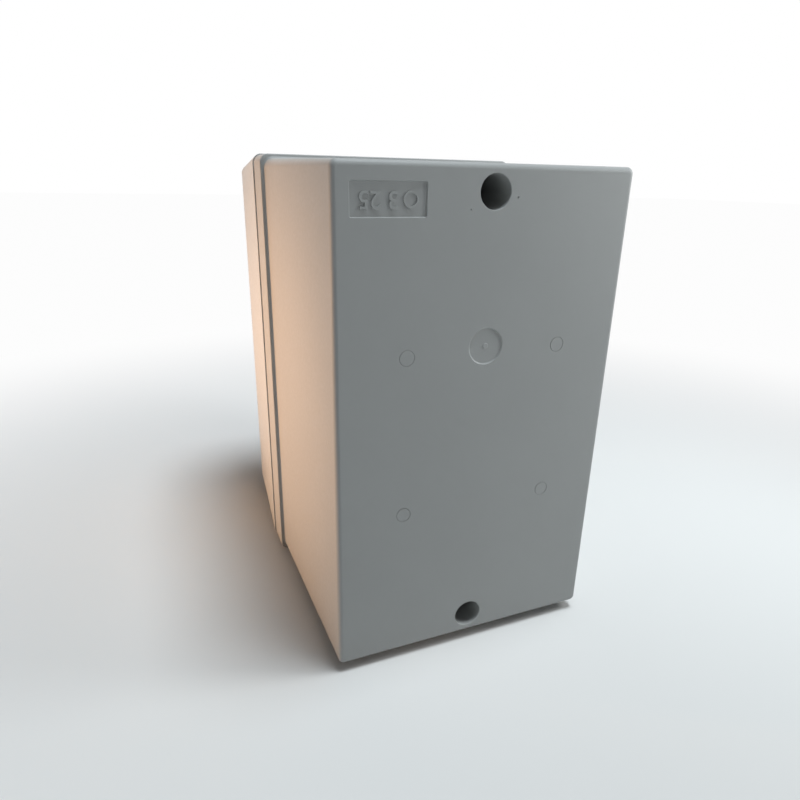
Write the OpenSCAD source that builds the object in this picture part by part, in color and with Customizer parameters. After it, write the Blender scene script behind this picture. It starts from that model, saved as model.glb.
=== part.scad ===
// Magnetic motor starter: a moulded wall box that holds a contactor, a thermal overload relay,
// a start contact block and two push buttons.
// Everything is laid out on a bench frame, x to the right, y up and z from the wall to the front.
// bench() then stands it up, so the front faces -Y and the back face lies in the plane Y = 0.

/* [Box] */
// Width across the cover's rear edge
body_w = 100; // [96:1:130]
// Height across the cover's rear edge
body_h = 160; // [158:1:200]
// Depth from the wall to the front of the cover
body_d = 145; // [142:1:175]
// Depth of the rear housing, up to the parting line
base_d = 88.5; // [88:0.5:106]
// Depth of the flange band
flange_d = 12.5; // [9:0.5:16]
// How far the cover's rear edge stands out past the flange
cover_lip = 0.4; // [0:0.1:0.8]
// Step from the drafted wall out to the flange
flange_step = 1.5; // [0.6:0.1:2]
// Draft of each long side wall between the back face and the flange
side_draft = 1.9; // [1:0.1:4]
// Draft of each end wall between the back face and the flange
end_draft = 1.6; // [1:0.1:3]
// Wall thickness of housing and cover
wall = 3; // [2.5:0.1:3.6]
// Corner radius of the back face
back_corner_r = 2; // [1.5:0.5:8]
// Corner radius of the flange
flange_corner_r = 3; // [3:0.5:9]
// Rounding between the back face and the side walls
back_edge_r = 1.6; // [0.5:0.1:2.5]
// Rounding between the front face and the cover sides
front_edge_r = 6; // [2:0.5:8]
// Inward taper of each cover side
cover_taper = 3.15; // [0.5:0.05:4]

/* [Wall fixing] */
// Distance from the end of the back face to a fixing hole
fix_inset = 7.25; // [7:0.25:9]
// Diameter of the cored hole in the back
core_hole_d = 9.4; // [8:0.1:10.5]
// Depth of the cored hole
core_hole_deep = 24; // [10:1:26]
// Diameter of the screw hole in the seat
fix_screw_d = 5.3; // [4.3:0.1:6]
// Thickness of the screw seat
fix_seat_t = 4; // [3:0.5:5]

/* [Mounting plate and rail] */
// Thickness of the mounting plate
plate_t = 1.5; // [1:0.1:2.5]
// Height of the mounting plate
plate_h = 110; // [100:1:116]
// Half the pitch of the four plate posts
post_pitch = 25; // [24:0.5:30]
// Diameter of a plate post
post_d = 8; // [7:0.5:10]
// Height of the mounting rail above the plate
rail_d = 7.5; // [6.5:0.5:9]
// Width of the mounting rail
rail_h = 35; // [33:0.5:36]

/* [Contactor and relay] */
// Width of the contactor and of the relay
unit_w = 45; // [45:0.5:54]
// Height of the contactor
contactor_h = 68; // [68:0.5:72]
// Height of the relay
relay_h = 51.5; // [49:0.5:52]
// Stroke of the armature and the moving contacts
stroke = 4.5; // [2:0.1:4.5]
// Diameter of the control wires
wire_d = 2.2; // [1.6:0.1:2.4]

/* [Push buttons] */
// Height of the start button above the middle of the box
start_y = 28; // [26:0.5:30]
// Depth of the stop button below the middle of the box
stop_drop = 32; // [31:0.5:33]
// Diameter of a button cap
cap_d = 18; // [15:0.3:21.6]
// Travel of both buttons
press = 5; // [2:0.1:5]
// How far the start button stands out from the front of the box
start_proud = 3.3; // [2.5:0.1:4]
// How far the stop button stands out from the front of the box
stop_proud = 8.3; // [5:0.1:12]

/* [Hidden] */
$fn = 48;

// Clearances: a piece in its seat, a piece that slides or turns, and two halves that meet
fit = 0.05;
run = 0.1;
loose = 0.3;
// How far a cut runs past the surface it starts from
over = 1;
// Thickness of the slabs that the drafted walls are stretched between
slab = 0.01;

// Box
floor_t = 3;
flange_w = body_w - 2 * cover_lip;
flange_h = body_h - 2 * cover_lip;
back_w = flange_w - 2 * (flange_step + side_draft);
back_h = flange_h - 2 * (flange_step + end_draft);
flange_z = base_d - flange_d;
parting_gap = 0.6;
cover_z = base_d + parting_gap;
rim_inner_w = flange_w - 2 * (flange_step + wall);
rim_inner_h = flange_h - 2 * (flange_step + wall);
cover_inner_z = body_d - wall;
groove_inset = 1.1;
groove_w = 2;
groove_deep = 1.5;
cover_screw_x = body_w / 2 - 12;
cover_screw_y = body_h / 2 - 12;
cover_screw_d = 4;
cover_screw_head_d = 7;
cover_boss_d = 9;
cover_screw_seat_z = body_d - 17;
cover_screw_end_z = base_d - 18;
fix_y = back_h / 2 - fix_inset;
fix_tube_d = core_hole_d + 4.6;
fix_seat_z = core_hole_deep + fix_seat_t;
fix_tube_top_z = fix_seat_z + 6;
knockout_x = body_w / 2 - 28;
knockout_z = 45;
knockout_d = 20;

// Plate and rail
post_z = 8;
plate_w = back_w - 2 * wall - 5.2;
plate_z = post_z + plate_t;
rail_sheet = 1;
rail_z = plate_z + rail_d;
rail_l = plate_w - 2;
rail_channel_h = 27;
plate_screw_d = 4;
plate_screw_head_d = 7.5;
plate_screw_head_t = 2.4;

// Contactor: its middle height, and its levels counted from the front of the rail
unit_x = unit_w / 2;
mid_y = 25;
contactor_top_y = mid_y + contactor_h / 2;
contactor_bottom_y = mid_y - contactor_h / 2;
contactor_back_z = rail_z - 3.5;
magnet_floor_z = rail_z + 1.5;
split_z = rail_z + 33;
bar_z = rail_z + 40.9;
contactor_front_z = rail_z + 69;
arc_cover_z = rail_z + 75;
poles = [-15, -5, 5, 15];
pole_half = 4;
bar_half = 2.4;
bar_t = 1.5;
tip_d = 3.6;
tip_t = 1;
tip_y = 14;
terminal_screw_inset = 6;
core_half = 8;
leg_half = 4.7;
side_leg = [15.3, 22];
core_z = magnet_floor_z + 2.5;
core_yoke = 6;
core_face_z = core_z + 17;
armature_z = core_face_z + stroke;
armature_yoke_z = armature_z + 4.5;
armature_front_z = armature_yoke_z + 6;
bobbin_front_z = core_face_z + 4;
bobbin_half_x = 17;
bobbin_half_y = 14.8;
pin_z = armature_yoke_z + 3;
pin_d = 3;
carrier_plate_t = 4;
window_z = bar_z + bar_t + tip_t + stroke + run + tip_t;
window_front_z = window_z + 14;
bridge_t = 1.2;
return_spring_x = 14;
coil_ear_x = 16;
coil_ear_z = rail_z + 27;
clip_half = 9;
clip_z = [rail_z - 3, rail_z - 1.3];
clip_window = [-5, 5];
clip_lug = [-4.7, -3.2];
clip_spring_d = 1.6;

// Start block on the front of the contactor
block_z = [arc_cover_z, arc_cover_z + 24];
block_half_x = 14;
block_half_y = 12;
plunger_d = 8;
plunger_z = [arc_cover_z + 11, block_z[1] + 3.5];
block_bridge_z = arc_cover_z + 14;
block_tip_t = 0.8;
block_fixed_z = block_bridge_z - 2 * block_tip_t - press - run;
block_bar_t = 1.1;

// Relay below the contactor
relay_top_y = contactor_bottom_y - 0.5;
relay_bottom_y = relay_top_y - relay_h;
relay_back_z = rail_z + 3;
relay_split_z = relay_back_z + 60;
relay_front_z = relay_split_z + 5;
relay_wall = 3;
relay_wall_x = unit_x - 2.5;
relay_shelf_y = relay_bottom_y + 15;
relay_floor_z = relay_back_z + 3;
heater_poles = [-15, -5, 5];
heater_y = relay_top_y - 21.5;
relay_bar_z = bar_z + bar_t + run;
rib_z = relay_bar_z + 1.4;
slider_z = [rib_z + run, rib_z + 2.1];
slider_half_y = 5.5;
slider_travel = 1.5;
lever_x = 16.6;
lever_z = relay_bar_z + 9.5;
lever_pin_d = 2;
aux_x = [12.6, 17.4];
reset_y = -stop_drop;
reset_d = 6;
reset_seat_z = [slider_z[1] + 1, slider_z[1] + 2.2];
reset_z = [reset_seat_z[1] + 8.8, relay_front_z + 2];
dial_at = [-12, relay_top_y - 12.5];
dial_d = 9;

// Push buttons in the cover
bezel_sleeve_d = cap_d + 4;
bezel_flange_d = cap_d + 11;
bezel_seal_t = 0.8;
bezel_flange_t = 2.7;
bezel_end_z = body_d - 18;
bezel_floor_z = bezel_end_z + 3;
cap_z = bezel_floor_z + 10;
stem_d = 6;
stem_in_cap_z = cap_z + 5;
stem_collar_z = [bezel_end_z - 2.5, bezel_end_z - run];
nut_t = 4.5;
tip_gap = 0.3;

// Routes of the four control wires, end to end
wire_routes = [
    [[22.6, 28, 98.8], [25, 28, 98.8], [30, 40, 90], [30, 56, 74], [23, 65, 62], [16, 64.5, 58.8], [15, 59.1, 58.7]],
    [[-22.6, 28, 98.8], [-25, 28, 98.8], [-32, 43, 88], [-31, 60, 66], [-25, 70, 51], [-17, 71, 45], [-16, 67.1, 44.5]],
    [[16, 67.1, 44.5], [17, 71, 45], [27, 68, 50], [33, 52, 54], [34, 20, 55], [34, -30, 54], [31, -54, 53],
        [24, -66, 57], [18, -66, 60], [17.4, -61.1, 60.2]],
    [[15, -7.3, 59.6], [15, -7.3, 72], [16, -7.8, 86], [22, -14, 93], [29, -28, 90], [31, -46, 80], [28, -62, 73],
        [20, -68, 66], [13.5, -66.5, 61.5], [12.6, -61.1, 60.2]]
];
wire_steps = 2;
wire_sides = 8;

// ---- Shared shapes ----

// Stands a bench-frame shape up in the part's own frame
module bench() {
    rotate([90, 0, 0]) children();
}

// The range that reaches as far to both sides of a middle
function around(middle, half) = [middle - half, middle + half];

// The same range seen in the mirror of the middle plane
function mirrored(range, middle) = [2 * middle - range[1], 2 * middle - range[0]];

// A block given by its range on each axis
module block(x, y, z) {
    translate([x[0], y[0], z[0]]) cube([x[1] - x[0], y[1] - y[0], z[1] - z[0]]);
}

// A rod along the depth at [x, y]
module rod(at, d, z) {
    translate([at[0], at[1], z[0]]) cylinder(d = d, h = z[1] - z[0]);
}

// A ring along the depth at [x, y]
module ring(at, outer_d, inner_d, z) {
    difference() {
        rod(at, outer_d, z);
        rod(at, inner_d, [z[0] - over, z[1] + over]);
    }
}

module both_sides() {
    children();
    mirror([1, 0, 0]) children();
}

// Both ends of the box, mirrored about the middle height
module both_ends() {
    children();
    mirror([0, 1, 0]) children();
}

module rounded_rect(w, h, r) {
    square([w - 2 * r, h], center = true);
    square([w, h - 2 * r], center = true);
    for (x = [-1, 1], y = [-1, 1])
        translate([x * (w / 2 - r), y * (h / 2 - r)]) circle(r);
}

module rounded_plate(w, h, r, z) {
    translate([0, 0, z[0]]) linear_extrude(z[1] - z[0]) rounded_rect(w, h, r);
}

// A wall that tapers from level to level, each level being [z, w, h, r]
module tapered(levels) {
    hull()
        for (level = levels)
            rounded_plate(level[1], level[2], level[3], [level[0], level[0] + slab], $fn = 32);
}

// Levels of a rounded edge that starts at a face and runs dir along the depth
function edge_levels(face_z, dir, w, h, corner_r, edge_r) = [
    for (a = [0 : 22.5 : 90])
        [face_z + dir * edge_r * (1 - cos(a)), w - 2 * edge_r * (1 - sin(a)),
            h - 2 * edge_r * (1 - sin(a)), corner_r]
];

// A frame between two rounded rectangles, set in from the flange
module rim_frame(outer_inset, inner_inset, z) {
    difference() {
        rounded_plate(flange_w - 2 * outer_inset, flange_h - 2 * outer_inset, flange_corner_r - outer_inset, z);
        rounded_plate(flange_w - 2 * inner_inset, flange_h - 2 * inner_inset,
            max(flange_corner_r - inner_inset, 1), [z[0] - over, z[1] + over]);
    }
}

// A screw along the depth: slotted pan head that sits on seat_z, and its shank down to end_z
module pan_screw(at, head_d, head_t, shank_d, seat_z, end_z) {
    slot_w = head_d * 0.16;
    difference() {
        union() {
            rod(at, head_d, [seat_z, seat_z + head_t]);
            rod(at, shank_d, [end_z, seat_z + head_t / 2]);
        }
        block(around(at[0], head_d), around(at[1], slot_w / 2), [seat_z + head_t * 0.55, seat_z + head_t + over]);
    }
}

// ---- Box ----

module cover_screw_places() {
    for (x = [-1, 1], y = [-1, 1])
        translate([x * cover_screw_x, y * cover_screw_y, 0]) children();
}

module post_places() {
    for (x = [-1, 1], y = [-1, 1])
        translate([x * post_pitch, y * post_pitch, 0]) children();
}

// Marks moulded into the back: four ejector rings, a gate disc with its pip, and a sunk panel
module back_marks() {
    mark_ring_d = 4.9;
    mark_ring_w = 0.4;
    mark_deep = 0.15;
    gate_y = 26.5;
    gate_d = 10.6;
    gate_deep = 0.4;
    pip_d = 1.4;
    panel_x = [20.4, 41.2];
    panel_y = [back_h / 2 - 13.6, back_h / 2 - 5.1];
    panel_deep = 0.4;
    post_places() ring([0, 0], mark_ring_d, mark_ring_d - 2 * mark_ring_w, [-over, mark_deep]);
    difference() {
        rod([0, gate_y], gate_d, [-over, gate_deep]);
        rod([0, gate_y], pip_d, [gate_deep / 3, gate_deep + over]);
    }
    block(panel_x, panel_y, [-over, panel_deep]);
}

module knockout_grooves() {
    groove_w = 0.9;
    groove_deep = 1;
    groove_y = back_h / 2 + end_draft * knockout_z / flange_z - groove_deep;
    both_ends() both_sides()
        translate([knockout_x, groove_y, knockout_z]) rotate([-90, 0, 0])
            ring([0, 0], knockout_d + 2 * groove_w, knockout_d, [0, 4 * groove_deep]);
}

// Boss that takes a cover screw, tied to the side and end walls by two webs
module cover_boss() {
    web = 2;
    boss_z = [floor_t - slab, base_d - over];
    reach_x = back_w / 2 - cover_screw_x - wall / 2;
    reach_y = back_h / 2 - cover_screw_y - wall / 2;
    cover_screw_places() rod([0, 0], cover_boss_d, boss_z);
    both_sides() both_ends() {
        block([cover_screw_x, cover_screw_x + reach_x], around(cover_screw_y, web / 2), boss_z);
        block(around(cover_screw_x, web / 2), [cover_screw_y, cover_screw_y + reach_y], boss_z);
    }
}

module rear_housing() color([0.76, 0.77, 0.76]) bench() {
    wall_w = back_w + 2 * side_draft;
    wall_h = back_h + 2 * end_draft;
    floor_share = floor_t / flange_z;
    difference() {
        union() {
            difference() {
                union() {
                    tapered(concat(edge_levels(0, 1, back_w, back_h, back_corner_r, back_edge_r),
                        [[flange_z, wall_w, wall_h, back_corner_r + 1]]));
                    rounded_plate(flange_w, flange_h, flange_corner_r, [flange_z, base_d]);
                }
                tapered([
                    [floor_t, back_w - 2 * wall + 2 * side_draft * floor_share,
                        back_h - 2 * wall + 2 * end_draft * floor_share, back_corner_r - 1],
                    [flange_z, rim_inner_w, rim_inner_h, back_corner_r - 1]
                ]);
                rounded_plate(rim_inner_w, rim_inner_h, back_corner_r - 1, [flange_z - slab, base_d + over]);
            }
            cover_boss();
            both_ends() rod([0, fix_y], fix_tube_d, [back_edge_r, fix_tube_top_z]);
            post_places() rod([0, 0], post_d, [floor_t - slab, post_z]);
        }
        rim_frame(groove_inset, groove_inset + groove_w, [base_d - groove_deep, base_d + over]);
        cover_screw_places()
            rod([0, 0], cover_screw_d + 2 * fit, [cover_screw_end_z - 2, base_d + over]);
        post_places() rod([0, 0], plate_screw_d + 2 * fit, [floor_t - 0.8, post_z + over]);
        both_ends() {
            rod([0, fix_y], core_hole_d, [-over, core_hole_deep]);
            rod([0, fix_y], fix_screw_d, [0, fix_tube_top_z + over]);
            rod([0, fix_y], core_hole_d + 0.6, [fix_seat_z, fix_tube_top_z + over]);
        }
        back_marks();
        knockout_grooves();
    }
}

module cover_gasket() color([0.2, 0.2, 0.2]) bench()
    rim_frame(groove_inset + fit, groove_inset + groove_w - fit, [base_d - groove_deep, cover_z]);

module front_cover() color([0.80, 0.81, 0.80]) bench() {
    side_z = body_d - front_edge_r;
    corner_r = flange_corner_r + cover_lip;
    shrink = 2 * cover_taper;
    well_d = cover_screw_head_d + 1.2;
    difference() {
        union() {
            difference() {
                tapered(concat([[cover_z, body_w, body_h, corner_r]],
                    edge_levels(body_d - slab, -1, body_w - shrink, body_h - shrink, corner_r, front_edge_r)));
                tapered(concat([[cover_z - over, body_w - 2 * wall, body_h - 2 * wall, corner_r - 2]],
                    edge_levels(cover_inner_z - slab, -1, body_w - shrink - 2 * wall, body_h - shrink - 2 * wall,
                        corner_r - 2, front_edge_r - wall / 2)));
            }
            intersection() {
                cover_screw_places() rod([0, 0], well_d + 2.4, [cover_z, body_d]);
                tapered([[cover_z, body_w, body_h, corner_r], [side_z, body_w - shrink, body_h - shrink, corner_r],
                    [body_d - slab, body_w - shrink - 2 * front_edge_r, body_h - shrink - 2 * front_edge_r, 1]]);
            }
        }
        cover_screw_places() {
            rod([0, 0], cover_screw_d + 2 * run, [cover_z - over, body_d]);
            rod([0, 0], well_d, [cover_screw_seat_z, body_d + over]);
        }
        for (y = [start_y, -stop_drop])
            rod([0, y], bezel_sleeve_d + loose, [cover_inner_z - over, body_d + over]);
    }
}

module cover_screws() color([0.72, 0.73, 0.74]) bench()
    cover_screw_places()
        pan_screw([0, 0], cover_screw_head_d, 3, cover_screw_d, cover_screw_seat_z, cover_screw_end_z);

// ---- Mounting plate, rail and earth ----

module mounting_plate() color([0.70, 0.72, 0.74]) bench()
    difference() {
        rounded_plate(plate_w, plate_h, 3, [post_z, plate_z]);
        post_places() rod([0, 0], plate_screw_d + 2 * run, [post_z - over, plate_z + over]);
    }

module plate_screws() color([0.75, 0.75, 0.72]) bench()
    for (x = [-post_pitch, post_pitch], y = [-post_pitch, post_pitch])
        pan_screw([x, y], plate_screw_head_d, plate_screw_head_t, plate_screw_d,
            y > 0 ? plate_z + rail_sheet : plate_z, floor_t - 0.6);

// Top-hat rail, bent from one sheet
module mounting_rail() color([0.74, 0.75, 0.72]) bench()
    difference() {
        union() {
            block(around(0, rail_l / 2), around(mid_y, rail_channel_h / 2), [plate_z, plate_z + rail_sheet]);
            for (side = [0, 1]) translate([0, mid_y, 0]) mirror([0, side, 0]) {
                block(around(0, rail_l / 2), [rail_channel_h / 2 - rail_sheet, rail_channel_h / 2],
                    [plate_z, rail_z]);
                block(around(0, rail_l / 2), [rail_channel_h / 2 - rail_sheet, rail_h / 2],
                    [rail_z - rail_sheet, rail_z]);
            }
        }
        for (x = [-post_pitch, post_pitch])
            rod([x, post_pitch], plate_screw_d + 2 * run, [plate_z - over, plate_z + rail_sheet + over]);
    }

earth_x = [plate_w / 2 - 9, plate_w / 2 - 1];
earth_y = [-47, -33];
earth_t = 7;
earth_screw_y = [-43.5, -36.5];
earth_screw_d = 3.5;

module earth_terminal() color([0.80, 0.68, 0.38]) bench()
    difference() {
        block(earth_x, earth_y, [plate_z, plate_z + earth_t]);
        for (y = earth_screw_y) {
            rod([(earth_x[0] + earth_x[1]) / 2, y], earth_screw_d + 2 * fit, [plate_z + 2, plate_z + earth_t + over]);
            translate([0, y, plate_z + 2.6]) rotate([0, 90, 0])
                rod([0, 0], 3, [earth_x[0] - over, earth_x[1] + over]);
        }
    }

module earth_screws() color([0.72, 0.73, 0.74]) bench()
    for (y = earth_screw_y)
        pan_screw([(earth_x[0] + earth_x[1]) / 2, y], 5, 2, earth_screw_d, plate_z + earth_t, plate_z + 4.4);

// ---- Push buttons in the cover ----

// Cap with a blind hole for its stem and a dished face
module button_cap(y, proud) {
    top_z = body_d + proud;
    dish = 0.6;
    difference() {
        rod([0, y], cap_d, [cap_z, top_z]);
        rod([0, y], stem_d + 2 * fit, [cap_z - over, stem_in_cap_z]);
        rod([0, y], cap_d - 3.4, [top_z - dish, top_z + over]);
    }
}

module button_bezel(y) {
    flange_z = [body_d + bezel_seal_t, body_d + bezel_seal_t + bezel_flange_t];
    difference() {
        union() {
            rod([0, y], bezel_sleeve_d, [bezel_end_z, flange_z[1]]);
            rod([0, y], bezel_flange_d, flange_z);
        }
        rod([0, y], cap_d + 2 * run, [bezel_floor_z, flange_z[1] + over]);
        rod([0, y], stem_d + 2 * run, [bezel_end_z - over, bezel_floor_z + over]);
    }
}

// Stem with the collar that stops it under the bezel
module button_stem(y, tip_z) {
    rod([0, y], stem_d, [tip_z, stem_in_cap_z]);
    rod([0, y], stem_d + 3, stem_collar_z);
}

module button_spring(y)
    ring([0, y], stem_d + 7, stem_d + 4.6, [bezel_floor_z, cap_z]);

module button_nut(y)
    ring([0, y], bezel_sleeve_d + 5, bezel_sleeve_d + 2 * fit, [cover_inner_z - nut_t, cover_inner_z]);

module button_seal(y)
    ring([0, y], bezel_flange_d - 2, bezel_sleeve_d + 2 * fit, [body_d, body_d + bezel_seal_t]);

module start_button() color([0.10, 0.55, 0.25]) bench() button_cap(start_y, start_proud);
module start_bezel() color([0.16, 0.16, 0.17]) bench() button_bezel(start_y);
module start_stem() color([0.85, 0.85, 0.82]) bench() button_stem(start_y, plunger_z[1] + tip_gap);
module start_spring() color([0.70, 0.71, 0.72]) bench() button_spring(start_y);
module start_nut() color([0.16, 0.16, 0.17]) bench() button_nut(start_y);
module start_seal() color([0.12, 0.12, 0.12]) bench() button_seal(start_y);

module stop_button() color([0.75, 0.10, 0.08]) bench() button_cap(reset_y, stop_proud);
module stop_bezel() color([0.16, 0.16, 0.17]) bench() button_bezel(reset_y);
module stop_stem() color([0.85, 0.85, 0.82]) bench() button_stem(reset_y, reset_z[1] + tip_gap);
module stop_spring() color([0.70, 0.71, 0.72]) bench() button_spring(reset_y);
module stop_nut() color([0.16, 0.16, 0.17]) bench() button_nut(reset_y);
module stop_seal() color([0.12, 0.12, 0.12]) bench() button_seal(reset_y);

// ---- Contactor ----

// Both ends of the contactor, mirrored about its own middle height
module line_and_load() {
    children();
    translate([0, 2 * mid_y, 0]) mirror([0, 1, 0]) children();
}

// Lower half: holds the magnet, grips the rail and carries the coil terminals on two ears
module contactor_base() color([0.22, 0.23, 0.24]) bench() {
    inner_x = unit_x - 3;
    inner_y = contactor_h / 2 - 5;
    rail_slot = rail_h / 2 + 0.2;
    lip_z = [rail_z - rail_sheet - 2.1, rail_z - rail_sheet - 0.2];
    ear_x = around(coil_ear_x, 5);
    tab_slot_x = around(coil_ear_x, 2.5);
    difference() {
        union() {
            difference() {
                block(around(0, unit_x), around(mid_y, contactor_h / 2), [contactor_back_z, split_z]);
                block(around(0, unit_x + over), around(mid_y, rail_slot), [contactor_back_z - over, rail_z + fit]);
                block(around(0, clip_half + run + fit), [contactor_bottom_y - over, mid_y - rail_slot + over],
                    [contactor_back_z - over, clip_z[1] + loose]);
            }
            block(around(0, unit_x), [mid_y + rail_h / 2 - 2, mid_y + rail_slot + slab], lip_z);
            block(around(0, 1.5), clip_lug, [clip_z[0], clip_z[1] + loose + slab]);
            both_sides() block(ear_x, [contactor_top_y - slab, contactor_top_y + 8], [coil_ear_z - 14, coil_ear_z]);
        }
        block(around(0, inner_x), around(mid_y, inner_y), [magnet_floor_z, split_z + over]);
        both_sides() {
            block(tab_slot_x, [mid_y + inner_y - over, contactor_top_y + over], [coil_ear_z - fit, coil_ear_z + 1 + run]);
            rod([coil_ear_x, contactor_top_y + 4], 3.1, [coil_ear_z - 9, coil_ear_z + over]);
        }
    }
}

// Upper half: four channels side by side for the contacts, open at both ends and to the front
module contactor_top() color([0.80, 0.80, 0.76]) bench() {
    well_y = 10.6;
    tongue_x = [unit_x - 4.3, unit_x - 3.1];
    tongue_y = [mid_y + well_y + 2, mid_y + well_y + 8];
    difference() {
        block(around(0, unit_x), around(mid_y, contactor_h / 2), [split_z, contactor_front_z]);
        for (x = poles)
            block(around(x, pole_half), around(mid_y, contactor_h / 2 + over), [bar_z, contactor_front_z + over]);
        block(around(0, poles[3] + pole_half), around(mid_y, well_y), [split_z - over, bar_z + slab]);
        block(around(0, core_half + 1), around(mid_y, side_leg[1] + 1),
            [split_z - over, armature_front_z + 0.5]);
        line_and_load()
            for (x = poles)
                rod([x, contactor_top_y - terminal_screw_inset], 3.4, [bar_z - 3, bar_z + over]);
    }
    line_and_load() both_sides() block(tongue_x, tongue_y, [split_z - 4, split_z + slab]);
}

// Front plate with a barrier that reaches down each end of each channel
module arc_cover() color([0.80, 0.80, 0.76]) bench() {
    half_y = contactor_h / 2 - 12;
    foot_slot = [9.8, 12.2];
    difference() {
        block(around(0, unit_x), around(mid_y, half_y), [contactor_front_z, arc_cover_z]);
        both_sides() block(foot_slot, around(start_y, 6.2), [arc_cover_z - 3, arc_cover_z + over]);
    }
    line_and_load()
        for (x = poles)
            block(around(x, pole_half - run), [mid_y + half_y - 2, mid_y + half_y - 0.4],
                [bar_z + 12, contactor_front_z + slab]);
}

module core_pad() color([0.12, 0.12, 0.12]) bench()
    block(around(0, core_half + 2), around(mid_y, side_leg[1] - 2), [magnet_floor_z, core_z]);

// Three legs on a yoke; facing says which way the legs point
module magnet_legs(leg_range, yoke_range) {
    block(around(0, core_half), around(mid_y, side_leg[1]), yoke_range);
    block(around(0, core_half), around(mid_y, leg_half), leg_range);
    line_and_load() block(around(0, core_half), [mid_y + side_leg[0], mid_y + side_leg[1]], leg_range);
}

module magnet_core() color([0.45, 0.46, 0.48]) bench()
    difference() {
        magnet_legs([core_z + core_yoke - slab, core_face_z], [core_z, core_z + core_yoke]);
        line_and_load()
            block(around(0, core_half + over), [mid_y + side_leg[0] + 1.9, mid_y + side_leg[0] + 3.2],
                [core_face_z - 2, core_face_z + over]);
    }

// A copper ring round the outer half of each side leg
module shading_rings() color([0.72, 0.42, 0.25]) bench()
    line_and_load() {
        ring_z = [core_face_z - 1.8, core_face_z - 0.3];
        difference() {
            block(around(0, core_half + 1.2), [mid_y + side_leg[0] + 2, mid_y + side_leg[1] + 1.2], ring_z);
            block(around(0, core_half + fit), [mid_y + side_leg[0] + 3.1, mid_y + side_leg[1] + fit],
                [ring_z[0] - over, ring_z[1] + over]);
        }
    }

module coil_bobbin() color([0.15, 0.15, 0.16]) bench() {
    tube_x = core_half + 1.3;
    tube_y = leg_half + 1.3;
    back_z = core_z + core_yoke;
    flange_t = 1.2;
    difference() {
        union() {
            block(around(0, tube_x), around(mid_y, tube_y), [back_z, bobbin_front_z]);
            for (z = [back_z, bobbin_front_z - flange_t])
                block(around(0, bobbin_half_x), around(mid_y, bobbin_half_y), [z, z + flange_t]);
        }
        block(around(0, core_half + loose), around(mid_y, leg_half + loose), [back_z - over, bobbin_front_z + over]);
    }
}

module coil_winding() color([0.75, 0.55, 0.25]) bench() {
    flange_t = 1.2;
    z = [core_z + core_yoke + flange_t, bobbin_front_z - flange_t];
    difference() {
        translate([0, mid_y, 0])
            rounded_plate(2 * bobbin_half_x - 2, 2 * bobbin_half_y - 2.2, 4, z);
        block(around(0, core_half + 1.3), around(mid_y, leg_half + 1.3), [z[0] - over, z[1] + over]);
    }
}

// Flat tabs from the coil out to the ears, each with its clamp screw
module coil_terminals() color([0.75, 0.74, 0.70]) bench() {
    tab_z = [coil_ear_z, coil_ear_z + 1];
    screw_y = contactor_top_y + 4;
    both_sides() {
        difference() {
            union() {
                block(around(coil_ear_x, 2.4), [mid_y + bobbin_half_y - 4, contactor_top_y + 8], tab_z);
                block(around(coil_ear_x - 1.4, 1), [mid_y + bobbin_half_y - 4, mid_y + bobbin_half_y - 2],
                    [bobbin_front_z, tab_z[1]]);
            }
            rod([coil_ear_x, screw_y], 3.1, [tab_z[0] - over, tab_z[1] + over]);
        }
        pan_screw([coil_ear_x, screw_y], 5.5, 2.4, 3, tab_z[1], coil_ear_z - 8);
    }
}

module armature() color([0.48, 0.49, 0.51]) bench()
    difference() {
        magnet_legs([armature_z, armature_yoke_z + slab], [armature_yoke_z, armature_front_z]);
        translate([0, mid_y, pin_z]) rotate([0, 90, 0])
            rod([0, 0], pin_d + 2 * fit, around(0, core_half + over));
    }

module armature_pin() color([0.70, 0.71, 0.73]) bench()
    translate([0, mid_y, pin_z]) rotate([0, 90, 0]) rod([0, 0], pin_d, around(0, core_half + 2.8));

// Carrier: a plate on the armature, two cheeks for its pin, and a windowed post for each pole
module contact_carrier() color([0.20, 0.22, 0.25]) bench() {
    post_half_x = pole_half - 0.4;
    post_half_y = 4;
    window_half = bar_half + 0.15;
    plate_front_z = armature_front_z + carrier_plate_t;
    difference() {
        union() {
            block(around(0, 17.6), around(mid_y, 10), [armature_front_z, plate_front_z]);
            for (x = poles)
                block(around(x, post_half_x), around(mid_y, post_half_y),
                    [plate_front_z - slab, window_front_z + 4]);
            both_sides()
                block([core_half + loose, core_half + 3], around(mid_y, 4),
                    [pin_z - 2.5, armature_front_z + slab]);
        }
        for (x = poles)
            block(around(x, window_half), around(mid_y, post_half_y + over), [window_z, window_front_z]);
        translate([0, mid_y, pin_z]) rotate([0, 90, 0])
            rod([0, 0], pin_d + 2 * fit, around(0, core_half + 4));
    }
}

module moving_contacts() color([0.78, 0.50, 0.32]) bench()
    for (x = poles) {
        block(around(x, bar_half), around(mid_y, tip_y + 2.5), [window_z, window_z + bridge_t]);
        line_and_load() rod([x, mid_y + tip_y], tip_d, [window_z - tip_t, window_z + slab]);
    }

module contact_springs() color([0.70, 0.71, 0.72]) bench()
    for (x = poles)
        ring([x, mid_y], 4, 2.8, [window_z + bridge_t, window_front_z]);

module return_springs() color([0.70, 0.71, 0.72]) bench()
    both_sides() ring([return_spring_x, mid_y], 5, 3.8, [bobbin_front_z, armature_front_z]);

// Fixed contacts of one end: a bar in each channel with its tip and a hole for the clamp screw
module fixed_contacts() {
    bar_y = [mid_y + 11.5, contactor_top_y - run];
    for (x = poles) {
        difference() {
            block(around(x, bar_half), bar_y, [bar_z, bar_z + bar_t]);
            rod([x, contactor_top_y - terminal_screw_inset], 3.1, [bar_z - over, bar_z + bar_t + over]);
        }
        rod([x, mid_y + tip_y], tip_d, [bar_z + bar_t - slab, bar_z + bar_t + tip_t]);
    }
}

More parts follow.
